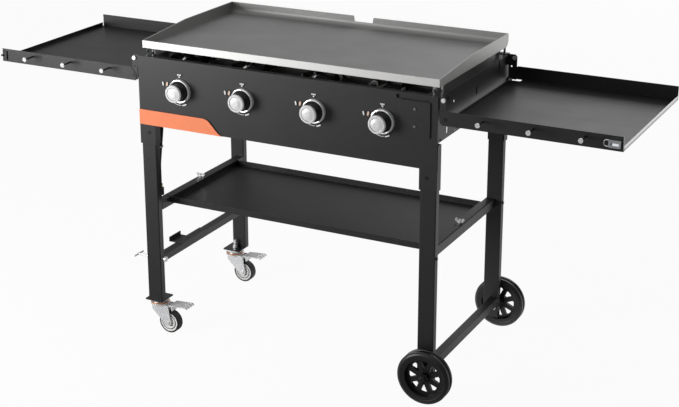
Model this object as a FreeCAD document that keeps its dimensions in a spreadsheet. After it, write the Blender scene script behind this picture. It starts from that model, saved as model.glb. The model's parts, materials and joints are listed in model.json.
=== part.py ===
import FreeCAD, Part
import math
import os
import re

import Sketcher
from FreeCAD import Rotation, Vector

# An outdoor gas griddle station: a four-burner fire box on folded-sheet panels carries a
# lift-off steel griddle plate, two fold-down side shelves and a bottom tray. It stands on two
# braked casters at its left and two wheels at its right. Millimetres, +Z up, front towards -Y,
# origin on the ground at the middle of the footprint.

doc = FreeCAD.newDocument("griddle_station")
sheet = doc.addObject("Spreadsheet::Sheet", "sizes")

# Every driving dimension, in millimetres
DIMENSIONS = {
    # Fire box
    "panel_top": 856.5,
    "panel_height": 200,
    "sheet_wall": 1.5,
    "panel_lip": 18,
    "side_step": 6,
    "side_lip": 40,
    "vent_first": 96,
    "vent_pitch": 34,
    "vent_width": 10,
    "vent_height": 38,
    "side_hole_setback": 105,
    "side_hole_radius": 4,
    "side_slot_width": 8,
    "upper_slot_back": 258,
    "upper_slot_height": 23,
    "lower_slot_back": 72,
    "lower_slot_height": 18,
    "drain_hole_setback": 131,
    "drain_hole_radius": 3,
    # Pressed field at the right of the front panel and the groove above it
    "field_rise": 3.5,
    "field_width": 87,
    "field_height": 96,
    "field_corner": 3,
    "groove_depth": 5,
    "groove_width": 98,
    "groove_height": 11.5,
    "groove_corner": 5,
    # Griddle plate
    "plate_width": 914,
    "plate_side_gap": 5,
    "plate_depth": 488,
    "plate_setback": 19,
    "plate_rear_gap": 3,
    "plate_gap": 19.5,
    "plate_floor": 4,
    "plate_wall": 3,
    "front_wall": 21,
    "back_wall": 37,
    "wall_slope_run": 221,
    "plate_rear_round": 20,
    "notch_top": 66,
    "notch_foot": 59,
    "notch_depth": 17,
    "foot_radius": 6,
    "stud_radius": 4,
    "foot_inset": 27,
    "foot_from_edge": 22,
    # Controls
    "knob_pitch": 203,
    "knob_gap": 222,
    "knob_shift": -8.25,
    "knob_radius": 25,
    "skirt_radius": 27,
    "knob_front": 42,
    "knob_travel": 3,
    "bezel_radius": 34.5,
    "bezel_height": 10,
    "bezel_floor": 2.5,
    "stem_radius": 3,
    "stem_flat": 1,
    "stem_reach": 30,
    "stem_root": 22,
    "valve_setback": 5,
    "valve_bore_depth": 24,
    "fit_gap": 0.05,
    # Gas train and burners
    "manifold_radius": 9.5,
    "manifold_back": 40,
    "manifold_drop": 22.5,
    "inlet_drop": 38,
    "valve_radius": 11,
    "valve_length": 44,
    "nozzle_radius": 4,
    "nozzle_length": 14,
    "burner_radius": 12.5,
    "burner_wall": 1.2,
    "burner_width": 70,
    "angle_leg": 20,
    "hose_radius": 6,
    "hose_shift": 13,
    "nut_length": 20,
    "tail_length": 24,
    "tie_width": 5,
    "tie_gap": 0.8,
    "hose_bend": 90,
    # Legs and rails
    "leg_width": 47,
    "leg_depth": 22,
    "leg_wall": 1.5,
    "leg_inset": 1.5,
    "leg_setback": 2.5,
    "leg_round": 3,
    "sleeve_gap": 0.5,
    "rail_side": 26,
    "mid_rail_top": 419,
    "low_rail_top": 250,
    "low_rail_height": 20,
    "axle_rail_side": 24,
    # Bottom tray
    "tray_drop": 17,
    "tray_sheet": 1.2,
    "tray_flange": 24,
    "screw_radius": 2.5,
    "wing_span": 30,
    "wing_height": 14,
    # Side shelves
    "flange_height": 38.5,
    "end_wall_height": 13,
    "shelf_sheet": 1.2,
    "shelf_span": 488,
    "flange_bevel_run": 16.5,
    "flange_bevel_drop": 20,
    "floor_notch": 22,
    "inner_hem": 12,
    "end_relief": 6,
    "pivot_radius": 3,
    "ear_gap": 0.3,
    "bracket_leg": 66,
    "lock_screw_radius": 6,
    "peg_length": 40,
    "peg_radius": 2.5,
    "peg_head": 6.5,
    "peg_pitch": 134.5,
    "peg_pitch_left": 137,
    "opener_width": 31,
    "opener_height": 20,
    "opener_depth": 13,
    "opener_from_end": 4,
    "opener_wall": 5,
    "opener_wire": 1.5,
    "hook_width": 13,
    "hook_height": 27,
    "hook_sheet": 4,
    "hook_knob": 3.5,
    "bracket_screw_setback": 61,
    "side_bolt_setback": 34,
    # Grease cup and its hanger
    "cup_width": 104,
    "cup_depth": 40,
    "cup_height": 62,
    "cup_rim": 7,
    "cup_wall": 1.5,
    "hanger_gap": 0.5,
    "hanger_ledge": 8,
    "hanger_height": 14,
    "cup_corner": 6,
    # Big wheels and axle
    "wheel_radius": 76,
    "wheel_width": 38,
    "wheel_gap": 5,
    "axle_radius": 5,
    "axle_end": 9,
    "axle_nut": 7.5,
    "hub_radius": 16,
    "rim_inner": 50,
    "spoke_count": 8,
    "spoke_width": 15,
    "web_half": 4,
    "axle_cap_radius": 12,
    "axle_cap_length": 8,
    "axle_inset": 13,
    # Casters
    "caster_shift": 7,
    "caster_plate_length": 60,
    "caster_plate_inner": 26.5,
    "caster_plate_sheet": 2.5,
    "race_radius": 26,
    "race_height": 12,
    "kingpin_radius": 6,
    "king_stud": 26,
    "king_nut": 8,
    "fork_top_radius": 29,
    "fork_sheet": 2.5,
    "fork_space": 30,
    "caster_radius": 34,
    "caster_width": 26,
    "caster_rim_radius": 30.5,
    "caster_trail": 36,
    "caster_axle_radius": 4,
    "pedal_reach": 106,
    "pedal_width": 42,
    "pedal_slot": 5,
    "pedal_slot_length": 22,
    "pedal_pin_out": 30,
    "pedal_pin_radius": 2,
    # Tank bracket and clamp screw
    "bracket_front": 133,
    "bracket_length": 135,
    "bracket_reach": 22,
    "bracket_arm": 60,
    "bracket_lip": 14,
    "clamp_height": 243,
    "clamp_radius": 3,
    "tee_length": 44,
}
# Sizes that follow from the others
DERIVED = {
    # Box and shelves follow the griddle plate
    "body_width": "plate_width + 2 * plate_side_gap",
    "body_depth": "plate_depth + plate_setback + plate_rear_gap",
    "rear_lip_half": "body_width / 2 - 62",
    "field_right": "body_width / 2 - 20.5",
    "field_left": "field_right - field_width",
    "groove_right": "field_right + 0.5",
    "groove_left": "groove_right - groove_width",
    "manifold_left": "body_width / 2 - 44",
    "burner_rear": "body_depth / 2 - 70",
    "burner_front": "body_depth / 2 - 79",
    "rail_front": "body_depth / 2 - 167",
    "rail_rear": "body_depth / 2 - 125",
    "tray_depth": "body_depth - 132",
    "shelf_inner": "body_width / 2 + 9.5",
    "shelf_floor_inner": "body_width / 2 + 20",
    "shelf_reach": "body_width / 2 + shelf_span",
    "shelf_depth": "body_depth - 3",
    "pivot_out": "body_width / 2 + 19",
    "ear_out": "pivot_out + 2",
    "ear_boss": "pivot_out + 9",
    "ear_out_rear": "ear_out + 8",
    "ear_rear": "body_depth / 2 - 17.5",
    "peg_first": "body_width / 2 + 123",
    "peg_first_left": "body_width / 2 + 101",
    "clamp_reach": "body_width / 2 + 38",
    "clamp_inner": "body_width / 2 - 62",
    "axle_out": "body_width / 2 - axle_inset",
    "wheel_center": "body_depth / 2 + wheel_gap + wheel_width / 2",
    "axle_cap_reach": "wheel_center + wheel_width / 2 + axle_cap_length",
    "caster_line": "body_depth / 2 - 38.5",
    # Heights follow the top of the panels, the wheels and the casters
    "panel_foot": "panel_top - panel_height",
    "side_top": "panel_top - 2.5",
    "side_fold": "panel_top - 68.5",
    "side_foot": "panel_top - 130.5",
    "rear_foot": "side_foot",
    "vent_foot": "side_fold",
    "vent_top": "vent_foot + vent_height",
    "side_hole_height": "side_fold + 31",
    "upper_slot_foot": "side_fold + 9",
    "lower_slot_foot": "side_foot + 12",
    "drain_hole_height": "side_foot + 6.5",
    "side_bolt_height": "side_foot + 5",
    "groove_top": "panel_top - 6",
    "groove_foot": "groove_top - groove_height",
    "field_top": "groove_foot - 1",
    "field_foot": "field_top - field_height",
    "field_screw_high": "field_top - 21",
    "field_screw_low": "field_top - 68",
    "knob_height": "panel_top - 86",
    "burner_height": "panel_top - 20.5",
    "cup_top": "panel_top - 6.5",
    "leg_top": "side_foot - 2",
    "sleeve_foot": "panel_foot - 58.5",
    "shelf_base": "panel_top - 74.5",
    "pivot_height": "shelf_base + 16",
    "peg_height": "shelf_base + 26",
    "opener_foot": "shelf_base + 10.5",
    "hook_foot": "shelf_base + 5",
    "ear_foot": "shelf_base + 3",
    "ear_split": "shelf_base + 44",
    "ear_top": "panel_top + 1.5",
    "lock_screw_height": "panel_top - 8",
    "bracket_screw_height": "panel_top - 18.5",
    "hose_bend_top": "panel_foot - 20.5",
    "hose_bend_foot": "hose_bend_top - 110",
    "hose_foot": "hose_bend_foot - 60",
    "axle_rail_top": "wheel_radius + 32",
    "wheel_leg_foot": "wheel_radius - 33",
    "caster_plate_top": "2 * caster_radius + 40",
    "pedal_pin_height": "2 * caster_radius + 13",
}
aliases = set(DIMENSIONS) | set(DERIVED)
CELLS = dict(DIMENSIONS)
CELLS.update({alias: "=" + formula for alias, formula in DERIVED.items()})
for row, (alias, content) in enumerate(CELLS.items(), 1):
    sheet.set("A%d" % row, alias)
    sheet.set("B%d" % row, str(content))
    sheet.setAlias("B%d" % row, alias)
doc.recompute()


def linked(text):
    """Turn the size names in a formula into references to the sheet."""
    pattern = r"[a-z][a-z0-9_]*"
    return re.sub(pattern, lambda m: "sizes." + m.group() if m.group() in aliases else m.group(), str(text))


def number(text):
    """The present value of a formula."""
    return float(sheet.evalExpression(linked(text)))


def bind(item, **formulas):
    """Bind properties of an object to formulas over the sheet."""
    for name, text in formulas.items():
        item.setExpression(name, linked(text))


def place(item, x, y, z, axis=None, angle=0):
    """Put an object at formulas for x, y and z, turned about an axis by a fixed angle."""
    if axis is not None:
        item.Placement = FreeCAD.Placement(Vector(0, 0, 0), Rotation(axis, angle))
    for letter, text in zip("xyz", (x, y, z)):
        item.setExpression("Placement.Base." + letter, linked(text))
    return item


ALONG_X = (Vector(0, 1, 0), 90)
ALONG_Y = (Vector(1, 0, 0), -90)
OUTWARD = (Vector(1, 0, 0), 90)

WIDE = "body_width / 2"
FRONT = "-body_depth / 2"
REAR = "body_depth / 2"
LEG_OUT = "(body_width / 2 - leg_inset)"
LEG_IN = "(body_width / 2 - leg_inset - leg_width)"
LEG_MIDDLE = "(body_width / 2 - leg_inset - leg_width / 2)"
LEG_FACE = "(body_depth / 2 - leg_setback)"
LEG_BACK = "(body_depth / 2 - leg_setback - leg_depth)"
LEG_AXIS = "(body_depth / 2 - leg_setback - leg_depth / 2)"
CASTER_OUT = "(body_width / 2 - leg_inset - leg_width / 2 + caster_shift)"
PLATE_FRONT = "(plate_setback - body_depth / 2)"
PLATE_BACK = "(plate_setback - body_depth / 2 + plate_depth)"
PLATE_BASE = "(panel_top + plate_gap)"
VENTS_EACH_SIDE = 10
MANIFOLD_Y = "(manifold_back - body_depth / 2)"
MANIFOLD_Z = "(knob_height - manifold_drop)"


def knob_place(n):
    """Formula for the x of knob n: two pairs with a wider gap between them."""
    side = -1 if n < 2 else 1
    outer = 1 if n in (0, 3) else 0
    return "(knob_shift + %d * (knob_gap / 2 + %d * knob_pitch))" % (side, outer)


def body(label):
    item = doc.addObject("PartDesign::Body", label)
    item.Label = label
    return item


def sketch(owner, plane, offset="0"):
    """A sketch on one of the body's own origin planes, moved along that plane's normal."""
    item = owner.newObject("Sketcher::SketchObject", owner.Name + "_sketch")
    support = next(f for f in owner.Origin.OriginFeatures if f.Role == plane)
    item.AttachmentSupport = [(support, "")]
    item.MapMode = "FlatFace"
    item.setExpression("AttachmentOffset.Base.z", linked(offset))
    return item


def pin(item, kind, geometry, point, text):
    """Hold one point of the sketch at a formula, measured from the sketch's origin."""
    constraint = Sketcher.Constraint(kind, -1, 1, geometry, point, number(text))
    index = item.addConstraint(constraint)
    item.setExpression("Constraints[%d]" % index, linked(text))


def loop(item, corners):
    """Draw a closed loop of straight lines through corners given as pairs of formulas."""
    first = item.GeometryCount
    spots = [Vector(number(u), number(v), 0) for u, v in corners]
    count = len(spots)
    for n in range(count):
        item.addGeometry(Part.LineSegment(spots[n], spots[(n + 1) % count]), False)
    for n in range(count):
        joint = Sketcher.Constraint("Coincident", first + n, 2, first + (n + 1) % count, 1)
        item.addConstraint(joint)
    for n, (u, v) in enumerate(corners):
        pin(item, "DistanceX", first + n, 1, u)
        pin(item, "DistanceY", first + n, 1, v)
    return item


def rectangle(item, left, foot, right, top):
    return loop(item, [(left, foot), (right, foot), (right, top), (left, top)])


def circle(item, u, v, radius):
    """Draw a circle with its middle and radius given as formulas."""
    middle = Vector(number(u), number(v), 0)
    index = item.addGeometry(Part.Circle(middle, Vector(0, 0, 1), number(radius)), False)
    pin(item, "DistanceX", index, 3, u)
    pin(item, "DistanceY", index, 3, v)
    ring = item.addConstraint(Sketcher.Constraint("Radius", index, number(radius)))
    item.setExpression("Constraints[%d]" % ring, linked(radius))
    return item


def pad(owner, item, length, back=False):
    feature = owner.newObject("PartDesign::Pad", owner.Name + "_pad")
    feature.Profile = item
    feature.Reversed = back
    bind(feature, Length=length)
    return feature


def pocket(owner, item, length=None, back=False):
    """Cut the sketch into the body, through everything when no length is given."""
    feature = owner.newObject("PartDesign::Pocket", owner.Name + "_pocket")
    feature.Profile = item
    feature.Reversed = back
    if length is None:
        feature.Type = "ThroughAll"
    else:
        bind(feature, Length=length)
    return feature


def turned(label, corners):
    """A body turned about its own Z axis from an outline of radius and height."""
    item = body(label)
    outline = loop(sketch(item, "XZ_Plane"), corners)
    feature = item.newObject("PartDesign::Revolution", label + "_turn")
    feature.Profile = outline
    feature.ReferenceAxis = (outline, ["V_Axis"])
    feature.Angle = 360
    return item


def rounded(owner, radius, chosen):
    """Round the edges of the body that the test picks."""
    doc.recompute()
    base = owner.Tip
    names = ["Edge%d" % (n + 1) for n, edge in enumerate(base.Shape.Edges) if chosen(edge)]
    feature = owner.newObject("PartDesign::Fillet", owner.Name + "_round")
    feature.Base = (base, names)
    bind(feature, Radius=radius)
    return feature


def runs_along(edge, axis):
    """Whether an edge is a straight line parallel to an axis."""
    if not isinstance(edge.Curve, Part.Line):
        return False
    return abs(edge.Curve.Direction.dot(axis)) > 0.999


def near(a, b):
    return abs(a - b) < 0.01


def block(label, x, y, z, length, width, height):
    item = doc.addObject("Part::Box", label)
    item.Label = label
    bind(item, Length=length, Width=width, Height=height)
    return place(item, x, y, z)


def rod(label, radius, length, x, y, z, direction=None):
    """A cylinder that starts at x, y, z and runs up, or along the given direction."""
    item = doc.addObject("Part::Cylinder", label)
    item.Label = label
    bind(item, Radius=radius, Height=length)
    axis, angle = direction if direction else (None, 0)
    return place(item, x, y, z, axis, angle)


def hexagon(label, radius, length, x, y, z, direction=None):
    """A six-sided head that starts at x, y, z and runs up, or along the given direction."""
    item = doc.addObject("Part::Prism", label)
    item.Label = label
    item.Polygon = 6
    bind(item, Circumradius=radius, Height=length)
    axis, angle = direction if direction else (None, 0)
    return place(item, x, y, z, axis, angle)


def cut(label, base, tool):
    item = doc.addObject("Part::Cut", label)
    item.Label = label
    item.Base = base
    item.Tool = tool
    return item


def fuse(label, pieces):
    item = doc.addObject("Part::MultiFuse", label)
    item.Label = label
    item.Shapes = pieces
    item.Refine = True
    return item


def group(label, pieces):
    """Several separate solids under one name."""
    item = doc.addObject("Part::Compound", label)
    item.Label = label
    item.Links = pieces
    return item


def mirrored(label, source, normal):
    item = doc.addObject("Part::Mirroring", label)
    item.Label = label
    item.Source = source
    item.Normal = normal
    item.Base = Vector(0, 0, 0)
    return item


ACROSS = Vector(1, 0, 0)
FRONT_TO_BACK = Vector(0, 1, 0)


def route(points, bend):
    """A wire through points with each corner replaced by a tangent arc."""
    spots = [Vector(*(number(text) for text in point)) for point in points]
    edges = []
    start = spots[0]
    for before, corner, after in zip(spots, spots[1:], spots[2:]):
        arrive = (corner - before).normalize()
        leave = (after - corner).normalize()
        half = arrive.getAngle(leave) / 2
        trim = number(bend) * math.tan(half)
        begin = corner - arrive * trim
        end = corner + leave * trim
        inward = (leave - arrive).normalize()
        middle = corner + inward * (number(bend) / math.cos(half) - number(bend))
        edges.append(Part.LineSegment(start, begin).toShape())
        edges.append(Part.Arc(begin, middle, end).toShape())
        start = end
    edges.append(Part.LineSegment(start, spots[-1]).toShape())
    return Part.Wire(edges)


def tube(label, points, bend, radius):
    """A round bar bent along a route."""
    path = route(points, bend)
    first = path.Edges[0]
    heading = first.tangentAt(first.FirstParameter)
    section = Part.Wire([Part.makeCircle(number(radius), first.valueAt(first.FirstParameter), heading)])
    item = doc.addObject("Part::Feature", label)
    item.Label = label
    item.Shape = path.makePipeShell([section], True, False)
    return item


made = []


def keep(item):
    """Take a finished piece into the set that is written out."""
    made.append(item)
    return item


def build_front_panel():
    """Folded front sheet with lips, four stem holes, and a raised field under a groove at its right."""
    item = body("front_panel")
    face = sketch(item, "XZ_Plane", "body_depth / 2")
    rectangle(face, "-body_width / 2", "panel_foot", WIDE, "panel_top")
    pad(item, face, "sheet_wall", back=True)
    lip_end = FRONT + " + panel_lip"
    top = sketch(item, "XY_Plane", "panel_top - sheet_wall")
    rectangle(top, "-body_width / 2", FRONT, WIDE, lip_end)
    pad(item, top, "sheet_wall")
    inner = LEG_IN + " - sleeve_gap - sheet_wall"
    foot = sketch(item, "XY_Plane", "panel_foot")
    rectangle(foot, "-(" + inner + ")", FRONT, inner, lip_end)
    pad(item, foot, "sheet_wall")
    dish = rectangle(
        sketch(item, "XZ_Plane", "body_depth / 2 - sheet_wall"),
        "groove_left - sheet_wall",
        "groove_foot - sheet_wall",
        "groove_right + sheet_wall",
        "groove_top + sheet_wall",
    )
    pad(item, dish, "groove_depth", back=True)
    hollow = rectangle(
        sketch(item, "XZ_Plane", "body_depth / 2"), "groove_left", "groove_foot", "groove_right", "groove_top"
    )
    pocket(item, hollow, "groove_depth")
    field = rectangle(
        sketch(item, "XZ_Plane", "body_depth / 2"), "field_left", "field_foot", "field_right", "field_top"
    )
    pad(item, field, "field_rise")
    behind = rectangle(
        sketch(item, "XZ_Plane", "body_depth / 2 - sheet_wall"),
        "field_left + sheet_wall",
        "field_foot + sheet_wall",
        "field_right - sheet_wall",
        "field_top - sheet_wall",
    )
    pocket(item, behind, "field_rise", back=True)

    def corner(edge, sides, length):
        on_side = any(near(edge.CenterOfMass.x, number(side)) for side in sides)
        return runs_along(edge, FRONT_TO_BACK) and near(edge.Length, length) and on_side

    depth = number("groove_depth")
    rounded(item, "groove_corner", lambda e: corner(e, ("groove_left", "groove_right"), depth))
    rise = number("field_rise")
    rounded(item, "field_corner", lambda e: corner(e, ("field_left", "field_right"), rise))
    holes = sketch(item, "XZ_Plane", "body_depth / 2")
    for n in range(4):
        circle(holes, knob_place(n), "knob_height", "stem_radius + 4")
    pocket(item, holes, "2 * sheet_wall")
    return item


def build_side_panel():
    """Right end sheet: top lip, upper wall, a step inwards and a lower wall, with its slots."""
    item = body("side_panel_right")
    lower = "(body_width / 2 - side_step)"
    section = [
        (WIDE + " - side_lip", "side_top"),
        (WIDE, "side_top"),
        (WIDE, "side_fold"),
        (lower, "side_fold"),
        (lower, "side_foot"),
        (lower + " - sheet_wall", "side_foot"),
        (lower + " - sheet_wall", "side_fold + sheet_wall"),
        (WIDE + " - sheet_wall", "side_fold + sheet_wall"),
        (WIDE + " - sheet_wall", "side_top - sheet_wall"),
        (WIDE + " - side_lip", "side_top - sheet_wall"),
    ]
    outline = loop(sketch(item, "XZ_Plane", "body_depth / 2 - sheet_wall"), section)
    pad(item, outline, "body_depth - 2 * sheet_wall", back=True)
    holes = sketch(item, "YZ_Plane")
    circle(holes, FRONT + " + side_hole_setback", "side_hole_height", "side_hole_radius")
    circle(holes, FRONT + " + drain_hole_setback", "drain_hole_height", "drain_hole_radius")
    for name in ("upper_slot", "lower_slot"):
        left = FRONT + " + %s_back" % name
        foot = "%s_foot" % name
        rectangle(holes, left, foot, left + " + side_slot_width", foot + " + %s_height" % name)
    pocket(item, holes, back=True)
    return item


def build_rear_panel():
    """Folded rear sheet with lips, a row of vents each side and two ledges for the cup."""
    item = body("rear_panel")
    face = sketch(item, "XZ_Plane", "sheet_wall - body_depth / 2")
    rectangle(face, "-body_width / 2", "rear_foot", WIDE, "panel_top")
    pad(item, face, "sheet_wall", back=True)
    lip_start = REAR + " - panel_lip"
    top = sketch(item, "XY_Plane", "panel_top - sheet_wall")
    rectangle(top, "-body_width / 2", lip_start, WIDE, REAR)
    pad(item, top, "sheet_wall")
    foot = sketch(item, "XY_Plane", "rear_foot")
    rectangle(foot, "-rear_lip_half", lip_start, "rear_lip_half", REAR)
    pad(item, foot, "sheet_wall")
    for side in (-1, 1):
        inner = "%d * (cup_width / 2 + hanger_gap)" % side
        outer = "%d * (cup_width / 2 + hanger_gap + hanger_ledge)" % side
        web = "%d * (cup_width / 2 + hanger_gap + hanger_ledge - sheet_wall)" % side
        ledge = sketch(item, "XY_Plane", "cup_top - cup_wall - sheet_wall")
        rectangle(ledge, inner, REAR, outer, REAR + " + cup_depth")
        pad(item, ledge, "sheet_wall")
        wall = sketch(item, "XY_Plane", "cup_top - cup_wall - hanger_height")
        rectangle(wall, web, REAR, outer, REAR + " + cup_depth")
        pad(item, wall, "hanger_height - sheet_wall")
    slots = sketch(item, "XZ_Plane", "-body_depth / 2")
    for n in range(VENTS_EACH_SIDE):
        for side in (-1, 1):
            middle = "%d * (vent_first + %d * vent_pitch)" % (side, n)
            left = middle + " - vent_width / 2"
            rectangle(slots, left, "vent_foot", middle + " + vent_width / 2", "vent_top")
    pocket(item, slots, "3 * sheet_wall", back=True)
    return item


def build_manifold():
    """Supply pipe behind the front panel with its inlet turned down at the left end."""
    right = knob_place(3) + " + 28"
    pipe = tube(
        "manifold_pipe",
        [
            (right, MANIFOLD_Y, MANIFOLD_Z),
            ("-manifold_left", MANIFOLD_Y, MANIFOLD_Z),
            ("-manifold_left", MANIFOLD_Y, MANIFOLD_Z + " - inlet_drop"),
        ],
        "2 * manifold_radius",
        "manifold_radius",
    )
    nut_foot = MANIFOLD_Z + " - inlet_drop - 2"
    nut = hexagon("manifold_nut", "manifold_radius + 3", "12", "-manifold_left", MANIFOLD_Y, nut_foot)
    return fuse("gas_manifold", [pipe, nut])


def build_valves():
    """Four taper valves seated on the supply pipe, each with a bore for its stem."""
    pieces = []
    start = "(-body_depth / 2 + valve_setback)"
    rear = "(-body_depth / 2 + valve_setback + valve_length)"
    for n in range(4):
        x = knob_place(n)
        barrel = rod("valve_barrel_%d" % n, "valve_radius", "valve_length", x, start, "knob_height", ALONG_Y)
        nozzle = rod("valve_nozzle_%d" % n, "nozzle_radius", "nozzle_length", x, rear, "knob_height", ALONG_Y)
        saddle = block(
            "valve_saddle_%d" % n,
            x + " - manifold_radius",
            MANIFOLD_Y + " - manifold_radius",
            MANIFOLD_Z,
            "2 * manifold_radius",
            "2 * manifold_radius",
            "manifold_drop",
        )
        whole = fuse("valve_cast_%d" % n, [barrel, nozzle, saddle])
        pipe_way = rod(
            "valve_seat_%d" % n,
            "manifold_radius",
            "4 * manifold_radius",
            x + " - 2 * manifold_radius",
            MANIFOLD_Y,
            MANIFOLD_Z,
            ALONG_X,
        )
        bore = "stem_radius + fit_gap"
        stem_way = rod("valve_bore_%d" % n, bore, "valve_bore_depth", x, start, "knob_height", ALONG_Y)
        pieces.append(cut("valve_%d" % n, whole, group("valve_ways_%d" % n, [pipe_way, stem_way])))
    return group("gas_valves", pieces)


def build_stem(n):
    """Valve stem: a round shank in the valve and a D-shaped end for the knob."""
    x = knob_place(n)
    tip = FRONT + " - stem_reach"
    root = FRONT + " + valve_setback + 1"
    shank = rod("stem_shank_%d" % n, "stem_radius", "stem_root", x, root, "knob_height", ALONG_Y)
    whole = "stem_reach + valve_setback + 1"
    end = rod("stem_end_%d" % n, "stem_radius", whole, x, tip, "knob_height", ALONG_Y)
    flat = block(
        "stem_flat_%d" % n,
        x + " - stem_radius",
        tip,
        "knob_height + stem_radius - stem_flat",
        "2 * stem_radius",
        "stem_reach - knob_travel + 1.5",
        "2 * stem_flat",
    )
    return fuse("valve_stem_%d" % (n + 1), [shank, cut("stem_d_%d" % n, end, flat)])


def build_knob(n):
    """Control knob: flared skirt, round grip with a rolled front edge, and a D-shaped bore."""
    x = knob_place(n)
    back = "bezel_floor + knob_travel + 0.5"
    cap = turned(
        "knob_cap_%d" % n,
        [
            ("0", back),
            ("stem_radius + 4", back),
            ("stem_radius + 4", "knob_front - 12"),
            ("knob_radius - 4", "knob_front - 12"),
            ("knob_radius - 4", back),
            ("skirt_radius", back),
            ("skirt_radius", "bezel_height + 1"),
            ("knob_radius - 1", "bezel_height + 4"),
            ("knob_radius - 1", "knob_front - 9"),
            ("knob_radius", "knob_front - 8"),
            ("knob_radius", "knob_front - 4"),
            ("knob_radius - 3", "knob_front - 1.5"),
            ("knob_radius - 6", "knob_front - 1.5"),
            ("knob_radius - 8", "knob_front - 2.5"),
            ("8", "knob_front"),
            ("0", "knob_front"),
        ],
    )
    place(cap, x, FRONT, "knob_height", *OUTWARD)
    tip = FRONT + " - stem_reach - knob_travel - 1.5"
    bore = rod("knob_bore_%d" % n, "stem_radius + fit_gap", "stem_reach + 4", x, tip, "knob_height", ALONG_Y)
    flat = block(
        "knob_flat_%d" % n,
        x + " - 2 * stem_radius",
        tip + " - 0.5",
        "knob_height + stem_radius - stem_flat + fit_gap",
        "4 * stem_radius",
        "stem_reach + 6",
        "3 * stem_flat",
    )
    return cut("knob_%d" % (n + 1), cap, cut("knob_d_%d" % n, bore, flat))


def build_bezels():
    """Four dished rings around the knobs."""
    pieces = []
    for n in range(4):
        ring = turned(
            "bezel_%d" % n,
            [
                ("stem_radius + 3", "0"),
                ("bezel_radius", "0"),
                ("bezel_radius", "bezel_height - 4"),
                ("bezel_radius - 1.5", "bezel_height - 0.5"),
                ("bezel_radius - 3", "bezel_height"),
                ("bezel_radius - 5", "bezel_height - 0.5"),
                ("bezel_radius - 6", "bezel_height - 3"),
                ("bezel_radius - 6", "bezel_floor"),
                ("stem_radius + 3", "bezel_floor"),
            ],
        )
        pieces.append(place(ring, knob_place(n), FRONT, "knob_height", *OUTWARD))
    return group("knob_bezels", pieces)


def build_burners():
    """Four stainless U-shaped tube burners, each with its mouth over a valve nozzle."""
    pieces = []
    mouth = "(-body_depth / 2 + valve_setback + valve_length + nozzle_length - 4)"
    for n in range(4):
        x = knob_place(n)
        far = x + " - burner_width"
        pipe = tube(
            "burner_pipe_%d" % n,
            [
                (x, mouth, "knob_height"),
                (x, mouth + " + 34", "knob_height"),
                (x, mouth + " + 84", "burner_height"),
                (x, "burner_rear", "burner_height"),
                (far, "burner_rear", "burner_height"),
                (far, "-burner_front", "burner_height"),
            ],
            "burner_width / 2 - 0.5",
            "burner_radius",
        )
        hollow = rod(
            "burner_mouth_%d" % n,
            "burner_radius - burner_wall",
            "16",
            x,
            mouth + " - 1",
            "knob_height",
            ALONG_Y,
        )
        pieces.append(cut("burner_%d" % n, pipe, hollow))
    return group("burners", pieces)


def build_burner_rails():
    """Two angle bars across the fire box that carry the burners."""
    inner = "(body_width / 2 - side_step - sheet_wall)"
    top = "(burner_height - burner_radius)"
    pieces = []
    for name, y in (("front", "-rail_front"), ("rear", "rail_rear")):
        item = body("burner_rail_" + name)
        section = [
            (y, top),
            (y + " + angle_leg", top),
            (y + " + angle_leg", top + " - sheet_wall"),
            (y + " + sheet_wall", top + " - sheet_wall"),
            (y + " + sheet_wall", top + " - angle_leg"),
            (y, top + " - angle_leg"),
        ]
        pad(item, loop(sketch(item, "YZ_Plane", "-" + inner), section), "2 * " + inner)
        pieces.append(item)
    return group("burner_rails", pieces)


def build_igniters():
    """Four ceramic spark electrodes standing on the front burner rail."""
    pieces = []
    z = "(burner_height - burner_radius + 4)"
    for n in range(4):
        x = knob_place(n) + " - 20"
        ceramic = rod("igniter_ceramic_%d" % n, "4", "30", x, "-rail_front - 5", z, ALONG_Y)
        wire = rod("igniter_wire_%d" % n, "1.2", "18", x, "25 - rail_front", z, ALONG_Y)
        pieces.append(fuse("igniter_%d" % n, [ceramic, wire]))
    return group("igniter_electrodes", pieces)


def build_leg(label, side, end, foot, cross_holes):
    """A rectangular tube leg, with any holes that pass through it."""
    item = body(label)
    x_in = "%d * " % side + LEG_IN
    x_out = "%d * " % side + LEG_OUT
    y_in = "%d * " % end + LEG_BACK
    y_out = "%d * " % end + LEG_FACE
    outer = rectangle(sketch(item, "XY_Plane", foot), x_in, y_in, x_out, y_out)
    rectangle(
        outer,
        x_in + " + %d * leg_wall" % side,
        y_in + " + %d * leg_wall" % end,
        x_out + " - %d * leg_wall" % side,
        y_out + " - %d * leg_wall" % end,
    )
    pad(item, outer, "leg_top - " + foot)
    edges_x = (number(x_in), number(x_out))
    edges_y = (number(y_in), number(y_out))
    rounded(
        item,
        "leg_round",
        lambda e: runs_along(e, Vector(0, 0, 1))
        and any(near(e.CenterOfMass.x, x) for x in edges_x)
        and any(near(e.CenterOfMass.y, y) for y in edges_y),
    )
    for plane, u, v, radius in cross_holes:
        hole = circle(sketch(item, plane), u, v, radius)
        feature = pocket(item, hole)
        feature.SideType = "Symmetric"
    return item


def build_sleeve():
    """Channel that holds the front right leg: front wall below the panel, side walls behind it."""
    item = body("sleeve")
    inner = LEG_IN + " - sleeve_gap"
    outer = LEG_OUT + " + 2 * sleeve_gap"
    back = "-" + LEG_BACK
    behind = FRONT + " + sheet_wall"
    front = sketch(item, "XY_Plane", "sleeve_foot")
    rectangle(front, inner + " - sheet_wall", FRONT, outer + " + sheet_wall", behind)
    pad(item, front, "panel_foot - sleeve_foot")
    for left, right in ((inner + " - sheet_wall", inner), (outer, outer + " + sheet_wall")):
        wall = rectangle(sketch(item, "XY_Plane", "sleeve_foot"), left, behind, right, back)
        pad(item, wall, "leg_top - sleeve_foot")
    return item


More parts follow.
